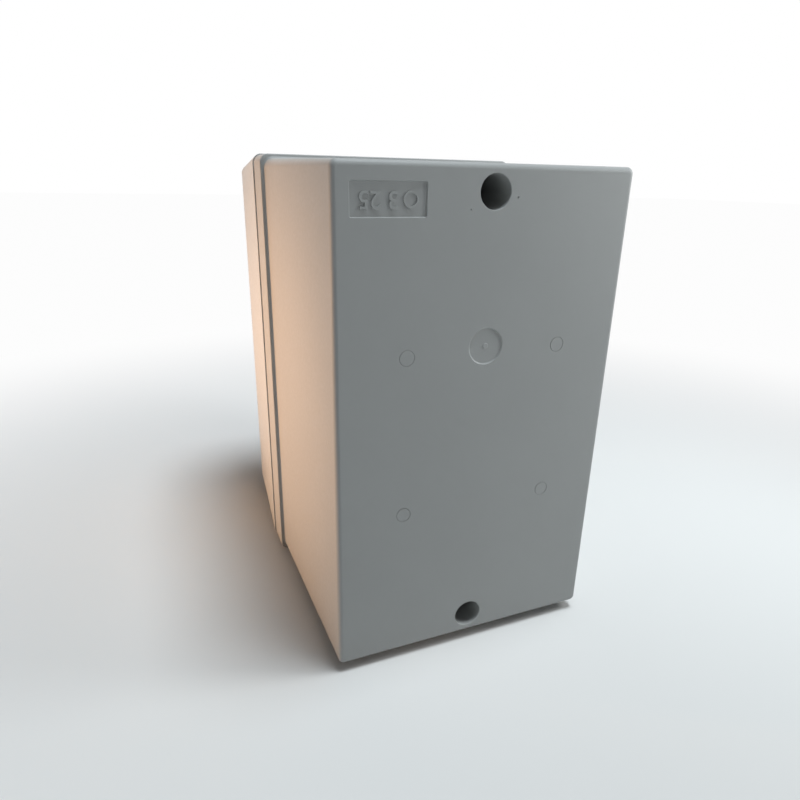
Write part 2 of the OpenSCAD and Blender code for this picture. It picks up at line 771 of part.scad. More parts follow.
module line_contacts() color([0.78, 0.50, 0.32]) bench() fixed_contacts();

module load_contacts() color([0.78, 0.50, 0.32]) bench()
    translate([0, 2 * mid_y, 0]) mirror([0, 1, 0]) fixed_contacts();

// A clamp screw with its square washer, above the bar it clamps
module clamp_screw(at, head_d, shank_d, bar_front_z, end_z) {
    washer_t = 0.9;
    washer_z = [bar_front_z + 1.7, bar_front_z + 1.7 + washer_t];
    block(around(at[0], head_d / 2), around(at[1], head_d / 2), washer_z);
    pan_screw(at, head_d, 2.6, shank_d, washer_z[1] - slab, end_z);
}

module contactor_terminal_screws() color([0.74, 0.75, 0.76]) bench()
    line_and_load()
        for (x = poles)
            clamp_screw([x, contactor_top_y - terminal_screw_inset], 6, 3, bar_z + bar_t, bar_z - 2.6);

// Slide that hooks the contactor on the lower edge of the rail
module rail_clip() color([0.68, 0.69, 0.70]) bench()
    difference() {
        block(around(0, clip_half), [contactor_bottom_y - 4, mid_y - rail_h / 2 + 2.3], clip_z);
        block(around(0, 3), clip_window, [clip_z[0] - over, clip_z[1] + over]);
    }

module clip_spring() color([0.70, 0.71, 0.72]) bench()
    translate([0, clip_lug[1], (clip_z[0] + clip_z[1]) / 2]) rotate([-90, 0, 0])
        ring([0, 0], clip_spring_d, clip_spring_d - 0.6, [0, clip_window[1] - clip_lug[1]]);

// ---- Start block ----

// Open-backed housing with a shelf on each side for its terminals and two feet in the arc cover
module start_block_housing() color([0.24, 0.25, 0.26]) bench() {
    side_t = 3;
    shelf_x = [block_half_x - slab, block_half_x + 8];
    shelf_z = [block_fixed_z - block_bar_t - 4, block_fixed_z - block_bar_t];
    foot_x = [9.9, 12.1];
    difference() {
        union() {
            block(around(0, block_half_x), around(start_y, block_half_y), block_z);
            both_sides() block(shelf_x, around(start_y, 5), shelf_z);
        }
        block(around(0, block_half_x - side_t), around(start_y, block_half_y - side_t),
            [block_z[0] - over, block_z[1] - side_t]);
        rod([0, start_y], plunger_d + 2 * run, [block_z[1] - side_t - over, block_z[1] + over]);
        both_sides() {
            block([block_half_x - side_t - over, block_half_x + over], around(start_y, 3.1),
                [block_fixed_z - block_bar_t, block_fixed_z + run]);
            rod([block_half_x + 4, start_y], 3, [shelf_z[0] + 0.6, shelf_z[1] + over]);
        }
    }
    both_sides() block(foot_x, around(start_y, 6.1), [block_z[0] - 2.9, block_z[0] + 1]);
}

module start_block_plunger() color([0.85, 0.85, 0.82]) bench()
    difference() {
        rod([0, start_y], plunger_d, plunger_z);
        block(around(0, plunger_d), around(start_y, 2.6), [block_bridge_z, block_bridge_z + 1 + run]);
    }

module start_block_bridge() color([0.78, 0.50, 0.32]) bench() {
    block(around(0, 10.5), around(start_y, 2.5), [block_bridge_z, block_bridge_z + 1]);
    both_sides()
        rod([9, start_y], 2.6, [block_bridge_z - block_tip_t, block_bridge_z + slab]);
}

module start_block_spring() color([0.70, 0.71, 0.72]) bench()
    ring([0, start_y], 6, 4.8, [block_z[0], plunger_z[0]]);

module start_block_terminals() color([0.74, 0.72, 0.62]) bench()
    both_sides() {
        difference() {
            block([7.5, block_half_x + 8], around(start_y, 3), [block_fixed_z - block_bar_t, block_fixed_z]);
            rod([block_half_x + 4, start_y], 3, [block_fixed_z - block_bar_t - over, block_fixed_z + over]);
        }
        rod([9, start_y], 2.6, [block_fixed_z - slab, block_fixed_z + block_tip_t]);
        pan_screw([block_half_x + 4, start_y], 5.5, 2.4, 2.9, block_fixed_z, block_fixed_z - block_bar_t - 3);
    }

// ---- Overload relay ----

load_screw_y = relay_bottom_y + 7;
relay_bar_x = 2.4;
lever_half_y = 2;
lever_y = heater_y;
lever_cheek_t = 1.8;
blade_t = 0.4;

// Housing: a heater chamber in three bays, and a shelf with open channels for the terminals
module relay_housing() color([0.24, 0.25, 0.26]) bench() {
    chamber_y = [relay_shelf_y, relay_top_y - relay_wall];
    rib_t = 1.6;
    cheek_y = [lever_half_y + 3.2, lever_half_y + 3.2 + lever_cheek_t];
    difference() {
        union() {
            difference() {
                block(around(0, unit_x), [relay_bottom_y, relay_top_y], [relay_back_z, relay_split_z]);
                block(around(0, relay_wall_x), chamber_y, [relay_floor_z, relay_split_z + over]);
            }
            for (x = [-10, 0, 10])
                block(around(x, rib_t / 2), [chamber_y[0] - slab, chamber_y[1] + slab], [relay_floor_z - slab, rib_z]);
            block(around(0, 4.2), [relay_shelf_y - slab, reset_y + 4.5], reset_seat_z);
            for (side = [0, 1]) translate([0, lever_y, 0]) mirror([0, side, 0])
                block([lever_x - 1.6, relay_wall_x + slab], cheek_y, [slider_z[1] + loose, lever_z + 3]);
        }
        for (x = heater_poles) {
            block(around(x, 3.9), [relay_bottom_y - over, relay_shelf_y], [relay_bar_z, relay_split_z + over]);
            rod([x, load_screw_y], 3.4, [relay_bar_z - 5, relay_bar_z + over]);
            block(around(x, relay_bar_x + run), [chamber_y[1] - over, relay_top_y + over],
                [relay_bar_z, relay_bar_z + bar_t + run]);
        }
        for (x = aux_x) {
            block(around(x, 1.95), [relay_bottom_y - over, relay_shelf_y], [relay_bar_z, relay_split_z + over]);
            rod([x, load_screw_y], 2.3, [relay_bar_z - 5, relay_bar_z + over]);
        }
        rod([0, reset_y], reset_d + 2 * run, [reset_seat_z[0] - over, reset_seat_z[1] + over]);
        translate([lever_x, lever_y, lever_z]) rotate([90, 0, 0])
            rod([0, 0], lever_pin_d + 2 * fit, around(0, cheek_y[1] + over));
    }
}

module relay_cover() color([0.80, 0.80, 0.76]) bench()
    difference() {
        block(around(0, unit_x), [relay_shelf_y, relay_top_y], [relay_split_z, relay_front_z]);
        rod([0, reset_y], reset_d + 2 * run, [relay_split_z - over, relay_front_z + over]);
        rod(dial_at, dial_d + 2 * run, [relay_split_z + 2, relay_front_z + over]);
        rod(dial_at, 4 + 2 * run, [relay_split_z - over, relay_front_z + over]);
    }

// Bars from the contactor's load terminals into the relay, each with a leg down to its heater
module relay_pins() color([0.78, 0.50, 0.32]) bench()
    for (x = heater_poles)
        difference() {
            union() {
                block(around(x, relay_bar_x), [relay_top_y - 10.5, contactor_bottom_y + 9],
                    [relay_bar_z, relay_bar_z + bar_t]);
                block(around(x, relay_bar_x), [relay_top_y - 10.5, relay_top_y - 9],
                    [relay_bar_z - 10, relay_bar_z + slab]);
            }
            rod([x, contactor_bottom_y + terminal_screw_inset], 3.4, [relay_bar_z - over, relay_bar_z + bar_t + over]);
        }

// Bimetal strips, each standing on a foot in its bay
module bimetals() color([0.68, 0.66, 0.62]) bench()
    for (x = heater_poles) {
        block(around(x, 2.4), around(heater_y, 3), [relay_floor_z, relay_floor_z + 3]);
        block(around(x, 0.4), around(heater_y, 3), [relay_floor_z + 3 - slab, slider_z[1] - 0.4]);
    }

// Heater ribbon round each bimetal, with a lead to the bar above and one to the bar below
module heater_windings() color([0.62, 0.50, 0.36]) bench()
    for (x = heater_poles) {
        coil_y = around(heater_y, 5);
        lead_x = around(x, 0.6);
        coil_z = [relay_floor_z + 6, relay_bar_z - 5];
        difference() {
            block(around(x, 2.4), coil_y, coil_z);
            block(around(x, 1), around(heater_y, 3.4), [coil_z[0] - over, coil_z[1] + over]);
        }
        block(lead_x, [coil_y[1] - slab, relay_top_y - 10.5], [relay_bar_z - 9, relay_bar_z - 7.8]);
        block(lead_x, [relay_shelf_y + 1.5, coil_y[0] + slab], [relay_floor_z + 9, relay_floor_z + 10.2]);
    }

module load_terminals() color([0.78, 0.50, 0.32]) bench()
    for (x = heater_poles)
        difference() {
            union() {
                block(around(x, relay_bar_x), [relay_bottom_y + run, relay_shelf_y + 1.5],
                    [relay_bar_z, relay_bar_z + bar_t - run]);
                block(around(x, relay_bar_x), [relay_shelf_y, relay_shelf_y + 1.5],
                    [relay_floor_z + 8, relay_bar_z + slab]);
            }
            rod([x, load_screw_y], 3.1, [relay_bar_z - over, relay_bar_z + bar_t + over]);
        }

module load_terminal_screws() color([0.74, 0.75, 0.76]) bench()
    for (x = heater_poles)
        clamp_screw([x, load_screw_y], 6, 3, relay_bar_z + bar_t - run, relay_bar_z - 4.5);

// Auxiliary terminals: bar, screw and an upright contact blade each
module relay_aux_terminals() color([0.74, 0.72, 0.62]) bench()
    for (i = [0, 1]) {
        x = aux_x[i];
        bar_end_y = relay_shelf_y + 1.2;
        blade_x = lever_x - 3 - i * 1.8;
        difference() {
            block(around(x, 1.75), [relay_bottom_y + run, relay_shelf_y], [relay_bar_z, relay_bar_z + 1]);
            rod([x, load_screw_y], 2.1, [relay_bar_z - over, relay_bar_z + 1 + over]);
        }
        pan_screw([x, load_screw_y], 3.4, 2, 2, relay_bar_z + 1, relay_bar_z - 4);
        if (i == 0) {
            block([x - 1, blade_x + blade_t], [relay_shelf_y - 0.6, relay_shelf_y + slab],
                [relay_bar_z + 1 - slab, lever_z + 8]);
            block([blade_x, blade_x + blade_t], [relay_shelf_y, lever_y - 1], [lever_z - 2, lever_z + 8]);
        }
    }

// Slider that the three strips push sideways when they bend
module trip_slider() color([0.70, 0.35, 0.20]) bench()
    difference() {
        block([-18.5, lever_x - 1.1], around(heater_y, slider_half_y), slider_z);
        for (x = heater_poles)
            block([x - 0.6 - slider_travel, x + 0.6], around(heater_y, 3.2), [slider_z[0] - over, slider_z[1] + over]);
    }

// Lever on its own cross pin, pushed by the slider below and working the blade above
module trip_lever() color([0.85, 0.85, 0.82]) bench() {
    block(around(lever_x, 0.8), around(lever_y, lever_half_y), [slider_z[0] - 0.6, lever_z + 8.5]);
    translate([lever_x, lever_y, lever_z]) rotate([90, 0, 0])
        rod([0, 0], lever_pin_d, around(0, lever_half_y + 3.2 + lever_cheek_t));
}

// Dial with a screwdriver slot, and its cam under the cover
module setting_dial() color([0.85, 0.85, 0.82]) bench() {
    difference() {
        rod(dial_at, dial_d, [relay_split_z + 2 + run, relay_front_z + 1]);
        block(around(dial_at[0], 0.6), around(dial_at[1], dial_d / 2 - 1), [relay_front_z - 0.2, relay_front_z + 2]);
    }
    rod(dial_at, 4, [relay_split_z - 4, relay_split_z + 2 + run + slab]);
    rod([dial_at[0], dial_at[1] + 0.7], 6, [relay_split_z - 4, relay_split_z - 2]);
}

module reset_button() color([0.15, 0.30, 0.62]) bench() {
    rod([0, reset_y], reset_d, reset_z);
    rod([0, reset_y], reset_d + 2.5, [reset_z[0], reset_z[0] + 2]);
}

module reset_spring() color([0.70, 0.71, 0.72]) bench()
    ring([0, reset_y], reset_d + 2, reset_d + 0.8, [reset_seat_z[1], reset_z[0]]);

// ---- Control wires ----

function unit(v) = v / norm(v);

// Point on the smooth curve between b and c, whose neighbours are a and d
function between(a, b, c, d, t) =
    0.5 * (2 * b + (c - a) * t + (2 * a - 5 * b + 4 * c - d) * t * t + (3 * b - a - 3 * c + d) * t * t * t);

function smooth(route) = let (last = len(route) - 1) [
    for (i = [0 : last - 1], s = [0 : wire_steps - 1])
        between(route[max(i - 1, 0)], route[i], route[i + 1], route[min(i + 2, last)], s / wire_steps),
    route[last]
];

// Direction of the curve at each point
function headings(line) = let (last = len(line) - 1) [
    for (i = [0 : last]) unit(line[min(i + 1, last)] - line[max(i - 1, 0)])
];

// Sideways direction at each point, turned as little as possible from one point to the next
function sideways(dirs) = [
    for (i = 0, n = unit(cross(dirs[0], [0.1, 0.2, 1])); i < len(dirs);
        i = i + 1, n = i < len(dirs) ? unit(n - (n * dirs[i]) * dirs[i]) : n) n
];

module wire(route) {
    line = smooth(route);
    dirs = headings(line);
    side = sideways(dirs);
    rings = len(line);
    points = [
        for (i = [0 : rings - 1], k = [0 : wire_sides - 1])
            let (a = 360 * k / wire_sides, other = cross(dirs[i], side[i]))
                line[i] + wire_d / 2 * (cos(a) * side[i] + sin(a) * other)
    ];
    walls = [
        for (i = [0 : rings - 2], k = [0 : wire_sides - 1])
            let (next = (k + 1) % wire_sides, near = i * wire_sides, far = (i + 1) * wire_sides)
                [near + k, far + k, far + next, near + next]
    ];
    ends = [
        [for (k = [0 : wire_sides - 1]) k],
        [for (k = [wire_sides - 1 : -1 : 0]) (rings - 1) * wire_sides + k]
    ];
    polyhedron(points, concat(walls, ends));
}

module control_wires() color([0.10, 0.20, 0.45]) bench()
    for (route = wire_routes) wire(route);

rear_housing();
cover_gasket();
front_cover();
cover_screws();
mounting_plate();
plate_screws();
mounting_rail();
earth_terminal();
earth_screws();
start_button();
start_bezel();
start_stem();
start_spring();
start_nut();
start_seal();
stop_button();
stop_bezel();
stop_stem();
stop_spring();
stop_nut();
stop_seal();
contactor_base();
contactor_top();
arc_cover();
core_pad();
magnet_core();
shading_rings();
coil_bobbin();
coil_winding();
coil_terminals();
armature();
armature_pin();
contact_carrier();
moving_contacts();
contact_springs();
return_springs();
line_contacts();
load_contacts();
contactor_terminal_screws();
rail_clip();
clip_spring();
start_block_housing();
start_block_plunger();
start_block_bridge();
start_block_spring();
start_block_terminals();
relay_housing();
relay_cover();
relay_pins();
bimetals();
heater_windings();
load_terminals();
load_terminal_screws();
relay_aux_terminals();
trip_slider();
trip_lever();
setting_dial();
reset_button();
reset_spring();
control_wires();
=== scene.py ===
import math
import bmesh
import bpy
from mathutils import Matrix, Vector


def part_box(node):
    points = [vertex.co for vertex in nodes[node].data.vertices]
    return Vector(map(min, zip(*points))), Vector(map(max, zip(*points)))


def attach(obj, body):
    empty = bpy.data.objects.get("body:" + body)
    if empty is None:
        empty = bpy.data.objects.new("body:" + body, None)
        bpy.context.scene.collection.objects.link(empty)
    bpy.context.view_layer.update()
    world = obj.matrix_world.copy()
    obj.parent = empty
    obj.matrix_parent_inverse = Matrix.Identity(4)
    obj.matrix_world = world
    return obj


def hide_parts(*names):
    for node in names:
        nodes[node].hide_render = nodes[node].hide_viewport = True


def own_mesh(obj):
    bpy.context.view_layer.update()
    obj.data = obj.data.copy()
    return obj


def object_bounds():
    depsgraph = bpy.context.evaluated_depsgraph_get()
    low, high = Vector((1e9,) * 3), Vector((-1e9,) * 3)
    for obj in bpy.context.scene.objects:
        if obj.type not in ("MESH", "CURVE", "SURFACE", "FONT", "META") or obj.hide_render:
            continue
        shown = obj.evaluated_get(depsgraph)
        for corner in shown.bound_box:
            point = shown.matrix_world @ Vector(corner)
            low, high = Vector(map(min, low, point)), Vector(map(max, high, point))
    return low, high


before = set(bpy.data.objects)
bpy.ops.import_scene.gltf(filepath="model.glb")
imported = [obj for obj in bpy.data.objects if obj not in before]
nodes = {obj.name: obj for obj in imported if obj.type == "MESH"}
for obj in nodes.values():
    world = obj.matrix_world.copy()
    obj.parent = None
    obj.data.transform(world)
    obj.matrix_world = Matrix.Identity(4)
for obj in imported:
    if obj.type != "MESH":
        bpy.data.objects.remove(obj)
cad_low, cad_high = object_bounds()
scene = bpy.context.scene

# ---- Camera ----
# A short lens close behind the box, level with its upper end and off towards +X.
# It sees the whole back and, at a slant, the long wall on the +X side.
camera_at = Vector((0.0878, 0.1484, 0.0716))
camera_right = Vector((-0.9273, 0.3739, 0.0176))
camera_up = Vector((-0.1131, -0.3247, 0.9390))
camera_back = camera_right.cross(camera_up)
camera = bpy.data.objects.new("camera", bpy.data.cameras.new("camera"))
camera.data.lens = 27
camera.data.sensor_width = 36
camera.data.clip_start = 0.01
camera.data.clip_end = 50
turn = Matrix((camera_right, camera_up, camera_back)).transposed().to_4x4()
camera.matrix_world = Matrix.Translation(camera_at) @ turn
scene.collection.objects.link(camera)
scene.camera = camera
scene.view_settings.view_transform = "Standard"

# ---- Room ----
# A pale floor under the box that fades to white away from it, a white surround for the eye
# and for reflections, and three soft lamps: a warm one low on the +X side, forward of the box, a cool
# one above and a weak one behind.
def node_tree(owner):
    owner.use_nodes = True
    owner.node_tree.nodes.clear()
    return owner.node_tree


def add(tree, kind, **values):
    made = tree.nodes.new(kind)
    for key, value in values.items():
        if key in made.inputs:
            made.inputs[key].default_value = value
        else:
            setattr(made, key, value)
    return made


def eye_or_mirror(tree):
    link = tree.links.new
    path = add(tree, "ShaderNodeLightPath")
    either = add(tree, "ShaderNodeMath", operation="MAXIMUM")
    link(path.outputs["Is Camera Ray"], either.inputs[0])
    link(path.outputs["Is Glossy Ray"], either.inputs[1])
    all_three = add(tree, "ShaderNodeMath", operation="MAXIMUM")
    link(either.outputs[0], all_three.inputs[0])
    link(path.outputs["Is Transmission Ray"], all_three.inputs[1])
    return all_three.outputs[0]


world = bpy.data.worlds.new("room")
scene.world = world
tree = node_tree(world)
link = tree.links.new
seen = add(tree, "ShaderNodeBackground", Color=(1, 1, 1, 1), Strength=1)
lighting = add(tree, "ShaderNodeBackground", Color=(0.93, 0.97, 1, 1), Strength=0.12)
choose = add(tree, "ShaderNodeMixShader")
out = add(tree, "ShaderNodeOutputWorld")
link(eye_or_mirror(tree), choose.inputs[0])
link(lighting.outputs[0], choose.inputs[1])
link(seen.outputs[0], choose.inputs[2])
link(choose.outputs[0], out.inputs[0])

floor_size = 12
bpy.ops.mesh.primitive_plane_add(size=floor_size, location=(0, 0, cad_low.z))
floor = bpy.context.object
floor.name = "floor"
floor_paint = bpy.data.materials.new("floor_paint")
tree = node_tree(floor_paint)
link = tree.links.new
matt = add(tree, "ShaderNodeBsdfDiffuse", Color=(0.80, 0.80, 0.79, 1), Roughness=1)
glow = add(tree, "ShaderNodeEmission", Color=(1, 1, 1, 1), Strength=0.98)
spot = add(tree, "ShaderNodeTexCoord")
from_box = add(tree, "ShaderNodeVectorMath", operation="LENGTH")
fade = add(tree, "ShaderNodeMapRange", interpolation_type="SMOOTHSTEP")
fade.inputs["From Min"].default_value = 0.13
fade.inputs["From Max"].default_value = 0.50
lit = add(tree, "ShaderNodeMath", operation="MULTIPLY")
choose = add(tree, "ShaderNodeMixShader")
out = add(tree, "ShaderNodeOutputMaterial")
link(spot.outputs["Object"], from_box.inputs[0])
link(from_box.outputs["Value"], fade.inputs["Value"])
link(fade.outputs[0], lit.inputs[0])
link(eye_or_mirror(tree), lit.inputs[1])
link(lit.outputs[0], choose.inputs[0])
link(matt.outputs[0], choose.inputs[1])
link(glow.outputs[0], choose.inputs[2])
link(choose.outputs[0], out.inputs[0])
floor.data.materials.append(floor_paint)


box_middle = Vector((0, -0.06, 0))


def soft_lamp(name, place, size, watts, colour, beam=None):
    """A round soft lamp turned to the box, or a soft-edged spot when its beam angle is given."""
    lamp = bpy.data.lights.new(name, "SPOT" if beam else "AREA")
    if beam:
        lamp.shadow_soft_size = size / 2
        lamp.spot_size = math.radians(beam)
        lamp.spot_blend = 1
    else:
        lamp.shape = "DISK"
        lamp.size = size
    lamp.energy = watts
    lamp.color = colour
    holder = bpy.data.objects.new(name, lamp)
    holder.location = place
    holder.visible_camera = False
    holder.rotation_euler = (box_middle - Vector(place)).to_track_quat("-Z", "Y").to_euler()
    scene.collection.objects.link(holder)


soft_lamp("side_lamp", (0.88, -0.52, -0.02), 0.10, 62, (1, 0.57, 0.31), beam=15)
soft_lamp("top_lamp", (-0.15, 0.10, 1.1), 0.4, 10.5, (0.88, 0.95, 1))
soft_lamp("back_lamp", (-0.205, 0.065, 0.12), 0.10, 0.28, (0.97, 1, 1))


# ---- Rear housing ----
# One injection moulding in light grey plastic, spark-eroded all over, with drafted walls that step
# out to a flange. Two cored tubes take the wall screws, and a groove in the rim holds the gasket.
def surface(name, shader, colour, darker, lighter, clouds, dullness, dull_marks, relief_marks, relief_depth):
    """A material whose colour clouds between a darker and a lighter tone, with uneven gloss and fine relief.
    clouds, dull_marks and relief_marks are the settings of three noise textures."""
    made = bpy.data.materials.new(name)
    tree = node_tree(made)
    link = tree.links.new
    place = add(tree, "ShaderNodeTexCoord")
    noises = [add(tree, "ShaderNodeTexNoise", **settings) for settings in (clouds, dull_marks, relief_marks)]
    for noise in noises:
        link(place.outputs["Object"], noise.inputs["Vector"])
    shade = add(tree, "ShaderNodeMix", data_type="RGBA")
    shade.inputs["A"].default_value = (*[c * (1 - darker) for c in colour], 1)
    shade.inputs["B"].default_value = (*[min(c * (1 + lighter), 1) for c in colour], 1)
    link(noises[0].outputs["Fac"], shade.inputs["Factor"])
    dull = add(tree, "ShaderNodeMapRange")
    for label, value in zip(("From Min", "From Max", "To Min", "To Max"), (0.3, 0.7, *dullness)):
        dull.inputs[label].default_value = value
    link(noises[1].outputs["Fac"], dull.inputs["Value"])
    relief = add(tree, "ShaderNodeBump", Strength=1.0, Distance=relief_depth)
    link(noises[2].outputs["Fac"], relief.inputs["Height"])
    paint = add(tree, "ShaderNodeBsdfPrincipled", **shader)
    link(shade.outputs["Result"], paint.inputs["Base Color"])
    link(dull.outputs[0], paint.inputs["Roughness"])
    link(relief.outputs[0], paint.inputs["Normal"])
    out = add(tree, "ShaderNodeOutputMaterial")
    link(paint.outputs[0], out.inputs[0])
    return made


def moulded_plastic(name, colour, gloss, grain=2600, grain_depth=0.00002, mottle=0.05, shine=0.5):
    """Plastic with a spark-eroded skin: fine grain, faint clouds in the colour, specks in the gloss."""
    return surface(
        name, {"IOR": 1.5, "Specular IOR Level": shine}, colour, mottle, mottle,
        {"Scale": 28.0, "Detail": 4.0, "Roughness": 0.6}, (0.94 - gloss, 1.06 - gloss),
        {"Scale": grain * 0.35, "Detail": 2.0},
        {"Scale": grain, "Detail": 3.0, "Roughness": 0.65}, grain_depth)


def object_from(name, mesh_data):
    """An object, not yet in the scene, that takes over a bmesh with its faces turned outward."""
    bmesh.ops.recalc_face_normals(mesh_data, faces=mesh_data.faces)
    mesh = bpy.data.meshes.new(name)
    mesh_data.to_mesh(mesh)
    mesh_data.free()
    return bpy.data.objects.new(name, mesh)


def piece_from(name, mesh_data, body, material, *stands_for, slot=None):
    """Finishes a bmesh as a piece on its body."""
    bmesh.ops.remove_doubles(mesh_data, verts=mesh_data.verts, dist=1e-6)
    return finish_piece(object_from(name, mesh_data), body, material, *stands_for, slot=slot)


def finish_piece(piece, body, material, *stands_for, slot=None):
    """Paints a piece, smooths it but for sharp edges, puts it on its body and hides the parts it stands for.
    """
    if piece.name not in scene.collection.objects:
        scene.collection.objects.link(piece)
    piece.data.materials.clear()
    piece.data.materials.append(material)
    piece.data.shade_smooth()
    piece.data.set_sharp_from_angle(angle=math.radians(35))
    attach(piece, body)
    if stands_for:
        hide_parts(*stands_for)
    return piece


def rounded_ring(width, height, radius, y, steps=10):
    """Points of a rounded rectangle across the box at depth y, corner by corner."""
    radius = max(min(radius, width / 2, height / 2), 0.0001)
    points = []
    for corner, (sx, sz) in enumerate(((1, 1), (-1, 1), (-1, -1), (1, -1))):
        for step in range(steps + 1):
            angle = math.pi / 2 * (corner + step / steps)
            x = sx * (width / 2 - radius) + radius * math.cos(angle)
            z = sz * (height / 2 - radius) + radius * math.sin(angle)
            points.append(Vector((x, y, z)))
    return points


def skin(mesh_data, rows, endless=False):
    """Faces from each ring of vertices to the next; the ends are closed, or joined when endless."""
    count = len(rows[0])
    for near, far in zip(rows, rows[1:] + rows[:1] if endless else rows[1:]):
        for i in range(count):
            j = (i + 1) % count
            mesh_data.faces.new((near[i], near[j], far[j], far[i]))
    if not endless:
        mesh_data.faces.new(rows[0])
        mesh_data.faces.new(reversed(rows[-1]))
    return mesh_data


def loft(mesh_data, rings):
    """Skins ring after ring of points and closes both ends."""
    return skin(mesh_data, [[mesh_data.verts.new(p) for p in ring] for ring in rings])


def turn_profile(mesh_data, profile, x, z, segments=48):
    """Turns (radius, y) pairs round the line along the depth at x, z."""
    rings = []
    for radius, y in profile:
        ring = []
        for i in range(segments):
            a = 2 * math.pi * i / segments
            ring.append(Vector((x + radius * math.cos(a), y, z + radius * math.sin(a))))
        rings.append(ring)
    return loft(mesh_data, rings)


def combine(piece, tool_data, operation):
    """Cuts the tool out of the piece, or adds it, and throws the tool away."""
    tool = object_from("tool", tool_data)
    scene.collection.objects.link(tool)
    step = piece.modifiers.new("combine", "BOOLEAN")
    step.operation = operation
    step.solver = "EXACT"
    step.use_self = False
    step.object = tool
    graph = bpy.context.evaluated_depsgraph_get()
    result = bpy.data.meshes.new_from_object(piece.evaluated_get(graph))
    piece.modifiers.clear()
    old = piece.data
    piece.data = result
    bpy.data.meshes.remove(old)
    bpy.data.objects.remove(tool)


def middle(node):
    low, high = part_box(node)
    return (low + high) / 2


def back_and_run(node):
    """Where a node's back end lies along the depth, and how long the node is that way."""
    low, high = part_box(node)
    return high.y, high.y - low.y


def even_normals(piece):
    """Lets the flat faces rule the shading, so that small roundings don't dent them."""
    weigh = piece.modifiers.new("even_normals", "WEIGHTED_NORMAL")
    weigh.weight = 100
    weigh.keep_sharp = True


housing_low, housing_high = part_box("rear_housing")
flange_width = housing_high.x - housing_low.x
flange_height = housing_high.z - housing_low.z
rim_y = housing_low.y
flange_deep = 0.0125
flange_y = rim_y + flange_deep
wall = 0.003
flange_step = 0.0015
flange_radius = 0.003
back_radius = 0.002
back_edge = 0.0016
side_draft = 0.0019
end_draft = 0.0016
back_width = flange_width - 2 * (flange_step + side_draft)
back_height = flange_height - 2 * (flange_step + end_draft)
fixing_inset = 0.00725
fixing_z = back_height / 2 - fixing_inset
post_pitch = 0.025
cover_low, cover_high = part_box("front_cover")
boss_inset = 0.012
boss_x = (cover_high.x - cover_low.x) / 2 - boss_inset
boss_z = (cover_high.z - cover_low.z) / 2 - boss_inset
post_top_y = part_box("mounting_plate")[1].y
four_corners = ((1, 1), (-1, 1), (-1, -1), (1, -1))


def edge_rings(width, height, radius, face_y, direction, edge, steps=8, even=False):
    """Rings of a rounded edge between a face and its walls; even keeps the corner radius all the way."""
    rings = []
    for step in range(steps + 1):
        a = math.pi / 2 * step / steps
        inset = edge * (1 - math.sin(a))
        y = face_y + direction * edge * (1 - math.cos(a))
        corner = radius if even else max(radius - inset, 0.0006)
        rings.append(rounded_ring(width - 2 * inset, height - 2 * inset, corner, y))
    return rings


def housing_shell():
    wall_width = back_width + 2 * side_draft
    wall_height = back_height + 2 * end_draft
    rim_width = flange_width - 2 * (flange_step + wall)
    rim_height = flange_height - 2 * (flange_step + wall)
    floor_width = back_width - 2 * wall
    floor_height = back_height - 2 * wall
    fillet = 0.0009
    flange_edge = 0.0005
    rings = edge_rings(back_width, back_height, back_radius, 0, -1, back_edge)
    # The drafted wall, a fillet into the step, and the rounded back edge of the flange
    for share in (0.33, 0.66):
        rings.append(rounded_ring(back_width + 2 * side_draft * share, back_height + 2 * end_draft * share,
                                  back_radius + 0.001 * share, flange_y * share))
    for share in (0, 0.35, 0.75, 1):
        a = math.pi / 2 * share
        out_by = fillet * (1 - math.cos(a))
        rings.append(rounded_ring(wall_width + 2 * out_by, wall_height + 2 * out_by,
                                  back_radius + 0.001 + out_by, flange_y + fillet * (1 - math.sin(a))))
    rings += edge_rings(flange_width, flange_height, flange_radius, flange_y, -1, flange_edge, steps=5)
    rings += reversed(edge_rings(flange_width, flange_height, flange_radius, rim_y, 1, 0.0003, steps=3))
    # The gasket groove in the rim, then down the inner wall to the floor
    for inset, deep in ((0.0011, 0), (0.0011, 0.0015), (0.0031, 0.0015), (0.0031, 0)):
        rings.append(rounded_ring(flange_width - 2 * inset, flange_height - 2 * inset,
                                  flange_radius - inset, rim_y + deep))
    inner = 0.0002
    inside_radius = 0.001
    rings += edge_rings(rim_width + 2 * inner, rim_height + 2 * inner, inside_radius,
                        rim_y, 1, inner, steps=2)[1:]
    rings.append(rounded_ring(rim_width, rim_height, inside_radius, flange_y))
    rings += reversed(edge_rings(floor_width, floor_height, inside_radius, -wall, -1, 0.0008, steps=4))
    return loft(bmesh.new(), rings)


def bar(mesh_data, x, y, z):
    """A plain rib between two limits on each axis."""
    corners = [mesh_data.verts.new((a, b, c)) for a in sorted(x) for b in sorted(y) for c in sorted(z)]
    for face in ((0, 1, 3, 2), (4, 6, 7, 5), (0, 4, 5, 1), (2, 3, 7, 6), (0, 2, 6, 4), (1, 5, 7, 3)):
        mesh_data.faces.new([corners[i] for i in face])
    return mesh_data


def turned_ring(mesh_data, profile, centre, flat, segments=48):
    """Turns a closed (radius, lift) outline round a centre; flat gives the two directions of the circle."""
    lift_way = flat[0].cross(flat[1])
    rows = []
    for radius, lift in profile:
        row = []
        for i in range(segments):
            a = 2 * math.pi * i / segments
            out = math.cos(a) * flat[0] + math.sin(a) * flat[1]
            row.append(mesh_data.verts.new(centre + radius * out + lift * lift_way))
        rows.append(row)
    return skin(mesh_data, rows, endless=True)


across = (Vector((0, 0, 1)), Vector((1, 0, 0)))
level = (Vector((1, 0, 0)), Vector((0, 1, 0)))


housing = object_from("rear_shell", housing_shell())
scene.collection.objects.link(housing)

